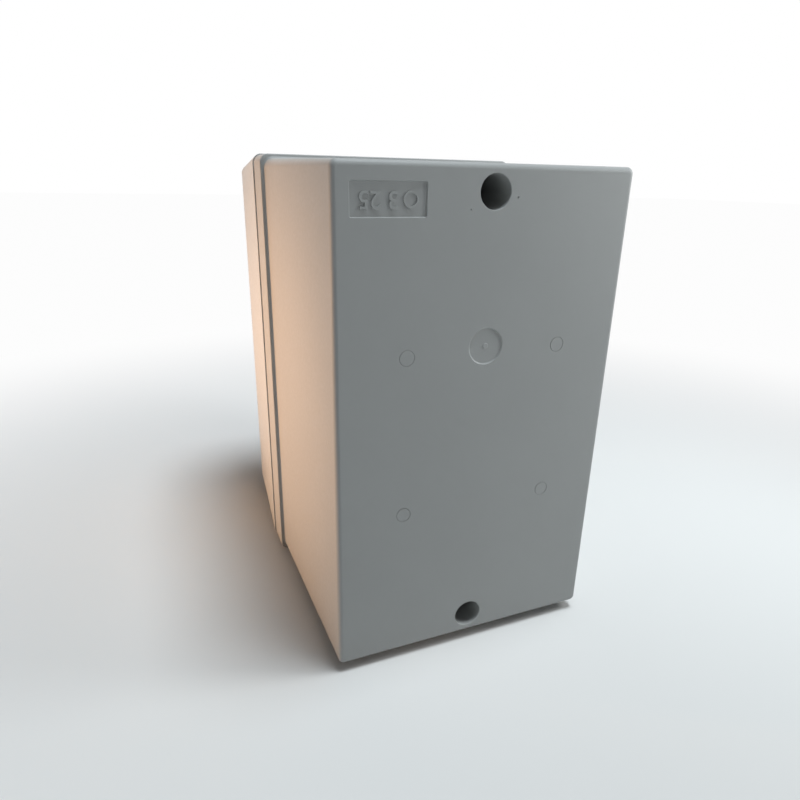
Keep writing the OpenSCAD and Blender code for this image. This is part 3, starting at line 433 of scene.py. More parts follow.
# Inside it: two wall-screw tubes, four plate posts and four cover bosses with their webs
inside = bmesh.new()
tube_top_y = -0.034
inside_floor_y = -0.0022
for end in (1, -1):
    turn_profile(inside, ((0.007, inside_floor_y), (0.007, tube_top_y + 0.0004), (0.0066, tube_top_y)),
                 0, end * fixing_z)
for sx, sz in four_corners:
    turn_profile(inside, ((0.004, inside_floor_y), (0.004, post_top_y)), sx * post_pitch, sz * post_pitch, 32)
combine(housing, inside, "UNION")
bosses = bmesh.new()
boss_top_y = rim_y + 0.001
for sx, sz in four_corners:
    turn_profile(bosses, ((0.0045, inside_floor_y), (0.0045, boss_top_y + 0.0003), (0.0042, boss_top_y)),
                 sx * boss_x, sz * boss_z, 32)
combine(housing, bosses, "UNION")
webs = bmesh.new()
for sx, sz in four_corners:
    bar(webs, (sx * (boss_x + 0.004), sx * (back_width / 2 - 0.0015)), (inside_floor_y, boss_top_y + 0.0005),
        (sz * boss_z - 0.001, sz * boss_z + 0.001))
    bar(webs, (sx * boss_x - 0.001, sx * boss_x + 0.001), (inside_floor_y, boss_top_y + 0.0005),
        (sz * (boss_z + 0.004), sz * (back_height / 2 - 0.0015)))
combine(housing, webs, "UNION")

# Cut out of it: the cored holes with their screw seats, the blind holes, and the marks on the back
holes = bmesh.new()
proud = 0.001
pilot = 0.00205
for end in (1, -1):
    turn_profile(holes, (
        (0.00492, proud), (0.00492, 0.00002), (0.0048, -0.00006), (0.00473, -0.00018), (0.0047, -0.0004),
        (0.0046, -0.0239), (0.00265, -0.024), (0.00265, -0.028), (0.005, -0.028), (0.005, tube_top_y - proud),
    ), 0, end * fixing_z, 64)
for sx, sz in four_corners:
    turn_profile(holes, ((pilot, -0.0685), (pilot, rim_y - proud)), sx * boss_x, sz * boss_z, 32)
    turn_profile(holes, ((pilot, inside_floor_y), (pilot, post_top_y - proud)),
                 sx * post_pitch, sz * post_pitch, 32)
combine(housing, holes, "DIFFERENCE")

marks = bmesh.new()
gate_z = 0.0265
mark_deep = 0.00015
for sx, sz in four_corners:
    turned_ring(marks, (
        (0.00212, proud), (0.00212, 0), (0.00224, -mark_deep), (0.00234, -mark_deep),
        (0.00246, 0), (0.00246, proud),
    ), Vector((sx * post_pitch, 0, sz * post_pitch)), across)
turn_profile(marks, ((0.0056, proud), (0.0056, 0), (0.0053, -0.0003), (0.0051, -0.0004), (0.0009, -0.0004),
                     (0.0007, -0.0002)), 0, gate_z, 64)
for x, z, radius in ((-0.0070, -0.0014, 0.0003), (0.0074, -0.0046, 0.0002)):
    turn_profile(marks, ((radius, proud), (radius, 0), (radius * 0.8, -0.00025), (radius * 0.3, -0.0003)),
                 x, fixing_z + z, 12)
combine(housing, marks, "DIFFERENCE")

panel_x = (0.0204, 0.0412)
panel_z = (back_height / 2 - 0.0136, back_height / 2 - 0.0051)
panel_deep = 0.00045
panel = bmesh.new()
panel_middle = Vector(((panel_x[0] + panel_x[1]) / 2, 0, (panel_z[0] + panel_z[1]) / 2))
panel_rings = []
for grow, y in ((0.00024, proud), (0.00024, 0), (0.00008, -panel_deep * 0.4), (0, -panel_deep)):
    panel_rings.append([p + panel_middle for p in rounded_ring(
        panel_x[1] - panel_x[0] + 2 * grow, panel_z[1] - panel_z[0] + 2 * grow, 0.0003 + grow, y, steps=4)])
loft(panel, panel_rings)
combine(housing, panel, "DIFFERENCE")

# Knock-outs: a ring groove round each weak disc in the end walls
knockouts = bmesh.new()
knockout_y = -0.045
for end in (1, -1):
    for side in (1, -1):
        face_z = end * (back_height / 2 + end_draft * knockout_y / flange_y)
        outline = ((0.01, 0.002 * end), (0.01, -0.001 * end), (0.0109, -0.001 * end), (0.0109, 0.002 * end))
        turned_ring(knockouts, outline, Vector((side * 0.022, knockout_y, face_z)), level, 64)
combine(housing, knockouts, "DIFFERENCE")

housing_plastic = moulded_plastic("housing_plastic", (0.355, 0.364, 0.36), gloss=0.50, shine=0.28)
finish_piece(housing, "base", housing_plastic, "rear_housing")
even_normals(housing)

# ---- Marks in the sunk panel ----
# Plain raised digits and a plain ring, moulded with the housing and standing upside down in the
# sunk panel at the corner of the back.
mark_height = 0.0003
digits = bpy.data.curves.new("panel_digits", "FONT")
digits.body = "3 25"
digits.size = 0.0062
digits.extrude = mark_height / 2
digits.bevel_depth = 0.00005
digits.align_x = "CENTER"
digits.align_y = "CENTER"
writing = bpy.data.objects.new("panel_digits_text", digits)
scene.collection.objects.link(writing)
graph = bpy.context.evaluated_depsgraph_get()
raised = bpy.data.objects.new("panel_digits", bpy.data.meshes.new_from_object(writing.evaluated_get(graph)))
bpy.data.objects.remove(writing)
# Text lies in X and Y facing +Z: stand it up to face +Y, then turn it head down
for angle, axis in ((math.pi / 2, "X"), (math.pi, "Z"), (math.pi, "Y")):
    raised.data.transform(Matrix.Rotation(angle, 4, axis))
digits_at = (panel_middle.x + 0.0028, -panel_deep + mark_height / 2, panel_middle.z)
raised.data.transform(Matrix.Translation(digits_at))
finish_piece(raised, "base", housing_plastic)

ring_mark = bmesh.new()
turned_ring(ring_mark, ((0.0016, -0.0001), (0.0016, mark_height), (0.0022, mark_height), (0.0022, -0.0001)),
            Vector((panel_middle.x - 0.0062, -panel_deep, panel_middle.z)), across, 40)
piece_from("panel_ring", ring_mark, "base", housing_plastic)

# ---- Mounting plate ----
# A zinc-plated sheet steel plate on the four posts, blanked with rounded corners and a rolled edge,
# held by four pan-head screws that cut their own thread in the plastic.
def plated_metal(name, colour, gloss, marks_scale=900.0, marks_depth=0.000006, cloud=0.08):
    """Bare or plated metal: uneven in gloss, with fine marks from rolling or tumbling."""
    clouds = {"Scale": 160.0, "Detail": 5.0, "Roughness": 0.6}
    return surface(
        name, {"Metallic": 1.0}, colour, 2 * cloud, cloud,
        clouds, (max(0.05, 0.9 - gloss), 1.1 - gloss), clouds,
        {"Scale": marks_scale, "Detail": 4.0, "Roughness": 0.7}, marks_depth)


def eased(name, node, body, material, ease=0.0002):
    """A moulded or stamped piece in the node's own shape, its loose triangles joined and its edges eased."""
    shape = bmesh.new()
    shape.from_mesh(nodes[node].data)
    bmesh.ops.remove_doubles(shape, verts=shape.verts, dist=2e-6)
    bmesh.ops.dissolve_limit(shape, angle_limit=math.radians(0.4), verts=shape.verts, edges=shape.edges)
    piece = finish_piece(object_from(name, shape), body, material, node)
    edge = piece.modifiers.new("eased_edges", "BEVEL")
    edge.width = ease
    edge.segments = 2
    edge.limit_method = "ANGLE"
    edge.angle_limit = math.radians(40)
    edge.harden_normals = False
    even_normals(piece)
    return piece


plate_steel = plated_metal("plate_steel", (0.66, 0.67, 0.67), gloss=0.62)
eased("mounting_sheet", "mounting_plate", "base", plate_steel, ease=0.00025)


def screw_mesh(name, head, head_height, shank, length, pitch, recess):
    """A screw seated at y = 0 with its head towards -Y, and its thread as ridges one pitch apart."""
    profile = [
        (head * 0.55, -head_height), (head * 0.82, -head_height * 0.93), (head * 0.96, -head_height * 0.68),
        (head, -head_height * 0.35), (head, 0), (shank, 0),
    ]
    y = pitch
    while y < length - pitch:
        profile += [(shank, y), (shank * 0.84, y + pitch * 0.5)]
        y += pitch
    profile += [(shank * 0.84, length - pitch * 0.6), (shank * 0.5, length)]
    piece = object_from(name, turn_profile(bmesh.new(), profile, 0, 0, 20))
    scene.collection.objects.link(piece)
    tool = bmesh.new()
    deep = (-head_height * 2, -head_height * 0.4)
    if recess == "slot":
        bar(tool, (-head * 1.2, head * 1.2), deep, (-head * 0.15, head * 0.15))
    else:
        reach, half = head * 0.62, head * 0.14
        outline = [(half, half), (reach, half), (reach, -half)]
        for _ in range(3):
            outline += [(z, -x) for x, z in outline[-3:]]
        loft(tool, [[Vector((x, y, z)) for x, z in outline] for y in deep])
    combine(piece, tool, "DIFFERENCE")
    scene.collection.objects.unlink(piece)
    return piece


def calc(tree, operation, first, second=None):
    """One Math node; each side is a socket or a number."""
    node = add(tree, "ShaderNodeMath", operation=operation)
    for socket, value in zip(node.inputs, (first, second)):
        if isinstance(value, bpy.types.NodeSocket):
            tree.links.new(value, socket)
        elif value is not None:
            socket.default_value = value
    return node.outputs[0]


def growing_tree(name, *inputs):
    """An empty Geometry Nodes tree with its named inputs; returns it, its input node and a finisher."""
    tree = bpy.data.node_groups.new(name, "GeometryNodeTree")
    link = tree.links.new
    kinds = {"Geometry": "NodeSocketGeometry", "Object": "NodeSocketObject", "Int": "NodeSocketInt",
             "Float": "NodeSocketFloat", "Material": "NodeSocketMaterial", "Vector": "NodeSocketVector"}
    for label, kind in inputs:
        tree.interface.new_socket(label, in_out="INPUT", socket_type=kinds[kind])
    tree.interface.new_socket("Result", in_out="OUTPUT", socket_type="NodeSocketGeometry")
    given = add(tree, "NodeGroupInput")

    def end_with(geometry):
        solid = add(tree, "GeometryNodeRealizeInstances")
        paint = add(tree, "GeometryNodeSetMaterial")
        result = add(tree, "NodeGroupOutput")
        link(geometry, solid.inputs["Geometry"])
        link(solid.outputs["Geometry"], paint.inputs["Geometry"])
        link(given.outputs["Finish"], paint.inputs["Material"])
        link(paint.outputs["Geometry"], result.inputs["Result"])
        return tree

    return tree, given, end_with


def copies(tree, points, shape):
    """Sets a copy of the object that comes in by one socket on every point of another."""
    link = tree.links.new
    source = add(tree, "GeometryNodeObjectInfo")
    place = add(tree, "GeometryNodeInstanceOnPoints")
    link(points, place.inputs["Points"])
    link(shape, source.inputs["Object"])
    link(source.outputs["Geometry"], place.inputs["Instance"])
    return place


def seats_tree():
    """Sets a copy of one fastener on every seat, each turned at random about the depth."""
    tree, given, end_with = growing_tree(
        "fasteners_on_seats", ("Seats", "Geometry"), ("Fastener", "Object"), ("Turn seed", "Int"),
        ("Most turn", "Vector"), ("Finish", "Material"))
    link = tree.links.new
    chance = add(tree, "FunctionNodeRandomValue")
    chance.data_type = "FLOAT_VECTOR"
    chance.inputs["Min"].default_value = (0, 0, 0)
    place = copies(tree, given.outputs["Seats"], given.outputs["Fastener"])
    link(given.outputs["Turn seed"], chance.inputs["Seed"])
    link(given.outputs["Most turn"], chance.inputs["Max"])
    link(chance.outputs["Value"], place.inputs["Rotation"])
    return end_with(place.outputs["Instances"])


def grown(name, tree, points=(), **settings):
    """Runs a tree on an object with these points, its named inputs set, and keeps the plain mesh it makes."""
    seed_mesh = bpy.data.meshes.new(name)
    seed_mesh.from_pydata(points, [], [])
    piece = bpy.data.objects.new(name, seed_mesh)
    scene.collection.objects.link(piece)
    step = piece.modifiers.new("grow", "NODES")
    step.node_group = tree
    keys = {item.name: item.identifier for item in tree.interface.items_tree if item.in_out == "INPUT"}
    for label, value in settings.items():
        step[keys[label.replace("_", " ")]] = value
    graph = bpy.context.evaluated_depsgraph_get()
    graph.update()
    mesh = bpy.data.meshes.new_from_object(piece.evaluated_get(graph))
    piece.modifiers.clear()
    piece.data = mesh
    return piece


seats = seats_tree()
no_turn = (0.0, 0.0, 0.0)
any_turn = (0.0, math.tau, 0.0)


def set_fasteners(name, fastener, places, seed, turn, body, material, *stands_for):
    """One piece made of a fastener on every place, turned by the seed up to the most turn."""
    group = grown(name, seats, places, Fastener=fastener, Turn_seed=seed, Most_turn=turn, Finish=material)
    return finish_piece(group, body, material, *stands_for)


zinc_screw = plated_metal("zinc_screw", (0.70, 0.71, 0.72), gloss=0.66)
rail_sheet = 0.001
plate_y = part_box("mounting_plate")[0].y
plate_screw = screw_mesh("plate_screw", 0.00375, 0.0024, 0.002, 0.0071, 0.0008, "cross")
plate_seats = [(sx * post_pitch, plate_y - (rail_sheet if sz > 0 else 0), sz * post_pitch)
               for sx, sz in four_corners]
set_fasteners("plate_fixings", plate_screw, plate_seats, 11, any_turn, "base", zinc_screw, "plate_screws")

# ---- Rail ----
# A length of 35 mm top-hat rail, rolled from one strip with rounded bends, under the upper two screws.
rail_low, rail_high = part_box("mounting_rail")
rail_mid_z = middle("mounting_rail").z
channel_half = 0.0135
bend = 0.0008


def bent_strip(centre_line, thickness, radius, steps=5):
    """Outline of a strip of sheet that follows a centre line in (y, z), with its bends rounded."""
    line = []
    for i, here in enumerate(centre_line):
        if i in (0, len(centre_line) - 1):
            line.append((Vector(here), None))
            continue
        back = (Vector(centre_line[i - 1]) - Vector(here)).normalized()
        ahead = (Vector(centre_line[i + 1]) - Vector(here)).normalized()
        centre = Vector(here) + (back + ahead) * radius
        for step in range(steps + 1):
            share = step / steps
            spoke = (-ahead).slerp(-back, share) if (-ahead).angle(-back) > 0.01 else -ahead
            line.append((centre + spoke * radius, spoke))
    outline_left, outline_right = [], []
    for i, (point, spoke) in enumerate(line):
        ahead = line[min(i + 1, len(line) - 1)][0] - line[max(i - 1, 0)][0]
        side = Vector((-ahead.y, ahead.x)).normalized() * thickness / 2
        outline_left.append(point + side)
        outline_right.append(point - side)
    return outline_left + outline_right[::-1]


half_sheet = rail_sheet / 2
channel_y = rail_high.y - half_sheet
flange_mid_y = rail_low.y + half_sheet
rail_line = [
    (flange_mid_y, rail_high.z), (flange_mid_y, rail_mid_z + channel_half - half_sheet),
    (channel_y, rail_mid_z + channel_half - half_sheet), (channel_y, rail_mid_z - channel_half + half_sheet),
    (flange_mid_y, rail_mid_z - channel_half + half_sheet), (flange_mid_y, rail_low.z),
]
rail_outline = bent_strip(rail_line, rail_sheet, bend)
rail = bmesh.new()
loft(rail, [[Vector((x, y, z)) for y, z in rail_outline] for x in (rail_low.x, rail_high.x)])
rail_steel = plated_metal("rail_steel", (0.62, 0.62, 0.60), gloss=0.66, marks_scale=700.0)
rail_piece = piece_from("top_hat_rail", rail, "base", rail_steel, "mounting_rail", slot="plate_steel")
rail_holes = bmesh.new()
for sx in (1, -1):
    turn_profile(rail_holes, ((0.0021, rail_high.y + 0.001), (0.0021, rail_high.y - 0.002)),
                 sx * post_pitch, post_pitch, 32)
combine(rail_piece, rail_holes, "DIFFERENCE")

# ---- Earth terminal ----
# A brass block cross-drilled for two wires, with a slotted clamp screw over each hole.
brass = plated_metal("brass", (0.78, 0.60, 0.26), gloss=0.66, marks_scale=500.0)
eased("earth_block", "earth_terminal", "base", brass, ease=0.0003)
earth_face_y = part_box("earth_terminal")[0].y
earth_screw = screw_mesh("earth_screw", 0.0025, 0.002, 0.00175, 0.0026, 0.0006, "slot")
earth = middle("earth_terminal")
earth_seats = [(earth.x, earth_face_y, earth.z + side * 0.0035) for side in (1, -1)]
set_fasteners("earth_clamps", earth_screw, earth_seats, 5, any_turn, "base", zinc_screw, "earth_screws")

# ---- Contactor housing ----
# Three mouldings that snap together: a dark lower half that grips the rail, a light upper half with
# four open contact channels, and the front plate. Every edge has the small radius of its mould.
dark_plastic = moulded_plastic("dark_plastic", (0.035, 0.037, 0.040), gloss=0.46, grain=2300, mottle=0.10)
light_plastic = moulded_plastic("light_plastic", (0.52, 0.52, 0.47), gloss=0.45, grain=2300, mottle=0.05)
eased("contactor_lower_half", "contactor_base", "base", dark_plastic)
eased("contactor_upper_half", "contactor_top", "base", light_plastic)
eased("contactor_front", "arc_cover", "base", light_plastic, ease=0.0001)
contactor_z = middle("contactor_top").z
poles = (-0.015, -0.005, 0.005, 0.015)

# ---- Magnet ----
# A stack of punched silicon-steel sheets for the core and another for the armature, ground on the pole
# faces, with a copper shading ring in a slot of each side leg and a rubber pad underneath.
core_half = 0.008
sheet_t = 0.0005
sheet_gap = 0.00003


def stack_tree():
    """Stacks one punched sheet along X."""
    tree, given, end_with = growing_tree("stack_of_sheets", ("Sheet", "Object"), ("Sheets", "Int"),
                                         ("Pitch", "Float"), ("Finish", "Material"))
    link = tree.links.new
    row = add(tree, "GeometryNodeMeshLine")
    step = add(tree, "ShaderNodeCombineXYZ")
    link(given.outputs["Sheets"], row.inputs["Count"])
    link(given.outputs["Pitch"], step.inputs["X"])
    link(step.outputs[0], row.inputs["Offset"])
    return end_with(copies(tree, row.outputs["Mesh"], given.outputs["Sheet"]).outputs["Instances"])


stack = stack_tree()


def sheet_object(name, outline):
    """One punched sheet with its outline in (y, z), against x = 0."""
    return object_from(name, loft(bmesh.new(), [
        [Vector((x, y, z)) for y, z in outline] for x in (0, sheet_t - sheet_gap)]))


def three_legs(face_y, yoke_y, back_y, slot_deep=0.0):
    """Outline of an E: legs from face_y to yoke_y on a yoke that ends at back_y."""
    inner, near, far = 0.0047, 0.0153, 0.022
    slot_near, slot_far = near + 0.0019, near + 0.0032
    half = [(face_y, inner), (yoke_y, inner), (yoke_y, near), (face_y, near)]
    if slot_deep:
        slot_y = face_y + slot_deep
        half += [(face_y, slot_near), (slot_y, slot_near), (slot_y, slot_far), (face_y, slot_far)]
    half += [(face_y, far), (back_y, far)]
    other = [(y, -z) for y, z in reversed(half)]
    return [(y, contactor_z + z) for y, z in half + other]


core_steel = plated_metal("core_steel", (0.30, 0.31, 0.32), gloss=0.50, marks_scale=1200.0, cloud=0.15)
core_low, core_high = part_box("magnet_core")
armature_low, armature_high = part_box("armature")
sheets = round(2 * core_half / sheet_t)
for name, node, body, outline in (
    ("core_stack", "magnet_core", "base",
     three_legs(core_low.y, core_high.y - 0.006, core_high.y, slot_deep=0.002)),
    ("armature_stack", "armature", "carrier",
     three_legs(armature_high.y, armature_low.y + 0.006, armature_low.y)),
):
    pile = grown(name, stack, Sheet=sheet_object(f"{name}_sheet", outline), Sheets=sheets, Pitch=sheet_t,
                 Finish=core_steel)
    pile.data.transform(Matrix.Translation((-core_half, 0, 0)))
    finish_piece(pile, body, core_steel, node)

copper = plated_metal("copper", (0.74, 0.38, 0.22), gloss=0.68, marks_scale=1000.0)
eased("shading_loops", "shading_rings", "base", copper)
gasket_rubber = moulded_plastic("gasket_rubber", (0.022, 0.022, 0.023), gloss=0.22, grain=1800,
                                grain_depth=0.00003, mottle=0.25)
eased("core_rest", "core_pad", "base", gasket_rubber, ease=0.0004)
armature_axle = bmesh.new()
pin_low, pin_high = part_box("armature_pin")
pin_y = middle("armature_pin").y
pin_radius = (pin_high.z - pin_low.z) / 2
lengthwise = (Vector((0, 1, 0)), Vector((0, 0, 1)))
turned_ring(armature_axle, (
    (0.0001, pin_low.x), (pin_radius - 0.0003, pin_low.x), (pin_radius, pin_low.x + 0.0003),
    (pin_radius, pin_high.x - 0.0003), (pin_radius - 0.0003, pin_high.x), (0.0001, pin_high.x),
), Vector((0, pin_y, contactor_z)), lengthwise, 24)
piece_from("armature_axle", armature_axle, "carrier", zinc_screw, "armature_pin")

# ---- Coil ----
# A black bobbin with two flanges. The winding is enamelled wire under a lapped polyester tape, and
# its ends come out to two flat tabs with a clamp screw on each.
black_plastic = moulded_plastic("black_plastic", (0.024, 0.024, 0.026), gloss=0.58, grain=2200, mottle=0.12)
eased("bobbin", "coil_bobbin", "base", black_plastic)
coil_low, coil_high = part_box("coil_winding")
tape_lap = 0.0032
winding = bmesh.new()
tape_rings = []
y = coil_high.y
while y > coil_low.y + 0.0001:
    end_y = max(y - tape_lap, coil_low.y)
    for share, inset in ((0, 0.00025), (0.06, 0.0), (0.5, 0.00004), (0.94, 0.0001), (0.99, 0.00025)):
        tape_rings.append(rounded_ring(
            coil_high.x - coil_low.x - 2 * inset, coil_high.z - coil_low.z - 2 * inset, 0.004,
            y + (end_y - y) * share))
    y = end_y
for ring in tape_rings:
    for point in ring:
        point.z += contactor_z
loft(winding, tape_rings)
coil_tape = moulded_plastic("coil_tape", (0.50, 0.33, 0.06), gloss=0.66, grain=700, mottle=0.2)
tape = piece_from("taped_winding", winding, "base", coil_tape, "coil_winding")
core_hole = bmesh.new()
bar(core_hole, (-0.0093, 0.0093), (coil_high.y + 0.001, coil_low.y - 0.001),
    (contactor_z - 0.006, contactor_z + 0.006))
combine(tape, core_hole, "DIFFERENCE")
tinned_brass = plated_metal("tinned_brass", (0.72, 0.70, 0.62), gloss=0.62)
eased("coil_tabs", "coil_terminals", "base", tinned_brass, ease=0.00015)

# ---- Contact carrier ----
# A dark moulding that rides on the armature's pin. A window in each of its four posts holds a copper
# bridge against a small coil spring, and two larger springs push the whole carrier off the magnet.
def spring_tree():
    """A coil spring along +Z with closed ends: one flat turn at each end, an even pitch between."""
    tree, given, end_with = growing_tree("coil_spring", ("Coil radius", "Float"), ("Wire radius", "Float"),
                                         ("Length", "Float"), ("Turns", "Float"), ("Finish", "Material"))
    link = tree.links.new
    line = add(tree, "GeometryNodeCurvePrimitiveLine")
    dense = add(tree, "GeometryNodeResampleCurve")
    along = add(tree, "GeometryNodeSplineParameter")
    move = add(tree, "GeometryNodeSetPosition")
    spot = add(tree, "ShaderNodeCombineXYZ")
    wire = add(tree, "GeometryNodeCurvePrimitiveCircle")
    coiled = add(tree, "GeometryNodeCurveToMesh")
    turns = given.outputs["Turns"]
    radius = given.outputs["Coil radius"]
    thick = calc(tree, "MULTIPLY", given.outputs["Wire radius"], 2.0)
    share = along.outputs["Factor"]
    angle = calc(tree, "MULTIPLY", calc(tree, "MULTIPLY", share, turns), math.tau)
    one_turn = calc(tree, "DIVIDE", 1.0, turns)
    rise = None
    main_rise = calc(tree, "SUBTRACT", given.outputs["Length"], calc(tree, "MULTIPLY", thick, 3.0))
    for start, end, lift in (
        (0.0, one_turn, thick), (one_turn, calc(tree, "SUBTRACT", 1.0, one_turn), main_rise),
        (calc(tree, "SUBTRACT", 1.0, one_turn), 1.0, thick),
    ):
        span = add(tree, "ShaderNodeMapRange")
        link(share, span.inputs["Value"])
        for label, value in (("From Min", start), ("From Max", end), ("To Max", lift)):
            if isinstance(value, float):
                span.inputs[label].default_value = value
            else:
                link(value, span.inputs[label])
        rise = span.outputs[0] if rise is None else calc(tree, "ADD", rise, span.outputs[0])
    link(calc(tree, "MULTIPLY", radius, calc(tree, "COSINE", angle)), spot.inputs["X"])
    link(calc(tree, "MULTIPLY", radius, calc(tree, "SINE", angle)), spot.inputs["Y"])
    link(calc(tree, "ADD", rise, given.outputs["Wire radius"]), spot.inputs["Z"])
    count = calc(tree, "MULTIPLY", turns, 24.0)
    link(line.outputs[0], dense.inputs["Curve"])
    link(count, dense.inputs["Count"])
    link(dense.outputs[0], move.inputs["Geometry"])
    link(spot.outputs[0], move.inputs["Position"])
    wire.inputs["Resolution"].default_value = 8
    link(given.outputs["Wire radius"], wire.inputs["Radius"])
    link(move.outputs[0], coiled.inputs["Curve"])
    link(wire.outputs["Curve"], coiled.inputs["Profile Curve"])
    coiled.inputs["Fill Caps"].default_value = True
    return end_with(coiled.outputs[0])


coil_springs = spring_tree()
spring_steel = plated_metal("spring_steel", (0.66, 0.67, 0.69), gloss=0.72, marks_scale=1500.0)
to_the_front = Matrix.Rotation(math.pi / 2, 4, "X")
upward = Matrix.Identity(4)


def spring_piece(name, foot, way, coil_radius, wire_radius, length, turns, body, *stands_for):
    """One spring that stands with its closed end on foot and runs the way given."""
    piece = grown(name, coil_springs, Coil_radius=coil_radius, Wire_radius=wire_radius, Length=length,
                  Turns=turns, Finish=spring_steel)
    piece.data.transform(Matrix.Translation(foot) @ way)
    return finish_piece(piece, body, spring_steel, *stands_for)


eased("carrier_moulding", "contact_carrier", "carrier", dark_plastic, ease=0.00015)
bridge_low, bridge_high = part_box("moving_contacts")
silver = plated_metal("silver", (0.80, 0.79, 0.76), gloss=0.60)
bridge_back_y = bridge_high.y - 0.001
bridges = bmesh.new()
for x in poles:
    # Each bridge is a bar with its ends drawn in
    outline = []
    for sx, sz in four_corners:
        outline += [(sx * 0.0024, sz * 0.0125), (sx * 0.0019, sz * 0.0165)][::1 if sx * sz > 0 else -1]
    loft(bridges, [[Vector((x + px, y, contactor_z + pz)) for px, pz in outline]
                   for y in (bridge_back_y, bridge_low.y)])
piece_from("contact_bridges", bridges, "carrier", copper, "moving_contacts")
tips = bmesh.new()
for x in poles:
    for side in (1, -1):
        turn_profile(tips, (
            (0.0016, bridge_high.y), (0.0018, bridge_high.y - 0.0002), (0.0018, bridge_back_y),
            (0.0015, bridge_back_y - 0.00005),
        ), x, contactor_z + side * 0.014, 24)
piece_from("moving_tips", tips, "carrier", silver, slot="copper")
foot_y, spring_run = back_and_run("contact_springs")
for number, x in enumerate(poles, start=1):
    stands_for = ("contact_springs",) if number == 1 else ()
    spring_piece(f"contact_spring_{number}", (x, foot_y, contactor_z), to_the_front, 0.0017, 0.0003,
                 spring_run, 9.0, "carrier", *stands_for)
foot_y, spring_run = back_and_run("return_springs")
for number, x in ((1, -0.014), (2, 0.014)):
    stands_for = ("return_springs",) if number == 1 else ()
    coil = spring_piece(f"return_spring_{number}", (x, foot_y, contactor_z), to_the_front, 0.0022, 0.0003,
                        spring_run, 8.0, "base", *stands_for)
    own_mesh(coil)

# ---- Fixed contacts ----
# Copper bars in the channels, each with a silver tip, and a slotted clamp screw with a square washer
# over the wire end.
def eased_bar(x, y, z, ease, segments=1):
    """A bar with its edges eased."""
    data = bar(bmesh.new(), x, y, z)
    bmesh.ops.recalc_face_normals(data, faces=data.faces)
    bmesh.ops.bevel(data, geom=data.edges[:], offset=ease, segments=segments, affect="EDGES")
    return data


eased("line_bars", "line_contacts", "base", copper, ease=0.00012)
eased("load_bars", "load_contacts", "base", copper, ease=0.00012)
clamp_low, clamp_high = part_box("contactor_terminal_screws")
washer_t = 0.0009
head_t = 0.0026
washer_y = clamp_low.y + head_t + washer_t
clamp_run = clamp_high.y - clamp_low.y - head_t
clamp_screw = screw_mesh("clamp_screw", 0.003, head_t, 0.0015, clamp_run, 0.0005, "slot")
square_washer = object_from("square_washer", eased_bar(
    (-0.003, 0.003), (-washer_t, 0), (-0.003, 0.003), 0.00015))
clamp_z = (clamp_high.z - clamp_low.z) / 2 - 0.003
clamp_places = [(x, washer_y - washer_t, contactor_z + side * clamp_z) for x in poles for side in (1, -1)]
set_fasteners("line_and_load_screws", clamp_screw, clamp_places, 21, any_turn, "base", zinc_screw,
              "contactor_terminal_screws")
washer_places = [(x, y + washer_t, z) for x, y, z in clamp_places]
set_fasteners("line_and_load_washers", square_washer, washer_places, 1, no_turn, "base", zinc_screw)

# ---- Rail clip ----
# A sprung steel slide at the foot of the contactor that snaps over the lower edge of the rail.
eased("clip_slide", "rail_clip", "clip", plate_steel, ease=0.00015)
clip_low, clip_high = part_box("clip_spring")
clip_y = middle("clip_spring").y
coil = spring_piece("clip_coil", (0, clip_y, clip_low.z), upward, 0.00065, 0.00015,
                    clip_high.z - clip_low.z, 14.0, "base", "clip_spring")
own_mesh(coil)

# ---- Start contact block ----
# A small dark housing snapped on the front of the contactor. Its white plunger carries a copper bridge
# down to two fixed contacts when the start button presses it, and a coil spring brings it back.
white_plastic = moulded_plastic("white_plastic", (0.74, 0.74, 0.70), gloss=0.62)
eased("block_moulding", "start_block_housing", "base", dark_plastic, ease=0.00015)
eased("block_plunger_rod", "start_block_plunger", "block_plunger", white_plastic, ease=0.0003)
eased("block_bridge_bar", "start_block_bridge", "block_plunger", copper, ease=0.00012)
eased("block_tabs", "start_block_terminals", "base", tinned_brass, ease=0.00012)
block_z = middle("start_block_housing").z
foot_y, spring_run = back_and_run("start_block_spring")
coil = spring_piece("block_coil", (0, foot_y, block_z), to_the_front, 0.0027, 0.0003, spring_run, 8.0,
                    "base", "start_block_spring")
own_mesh(coil)

# ---- Overload relay ----
# A dark case with a chamber in three bays and a light snap-on front with a scale round its dial.
# Copper bars bring the current in from the contactor and take it out to the clamp screws below.
eased("relay_case", "relay_housing", "base", dark_plastic)
eased("relay_front", "relay_cover", "base", light_plastic, ease=0.00025)
eased("relay_bars", "relay_pins", "base", copper, ease=0.00012)
eased("load_bars_out", "load_terminals", "base", copper, ease=0.00012)
eased("trip_contacts", "relay_aux_terminals", "base", tinned_brass, ease=0.0001)
load_low, load_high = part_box("load_terminal_screws")
load_z = middle("load_terminal_screws").z
load_poles = poles[:3]
washer_y = load_low.y + head_t + washer_t
load_run = load_high.y - load_low.y - head_t
load_screw = screw_mesh("load_screw", 0.003, head_t, 0.0015, load_run, 0.0005, "slot")
load_places = [(x, washer_y - washer_t, load_z) for x in load_poles]
set_fasteners("motor_screws", load_screw, load_places, 9, any_turn, "base", zinc_screw,
              "load_terminal_screws")
set_fasteners("motor_washers", square_washer, [(x, washer_y, load_z) for x in load_poles], 1, no_turn,
              "base", zinc_screw)

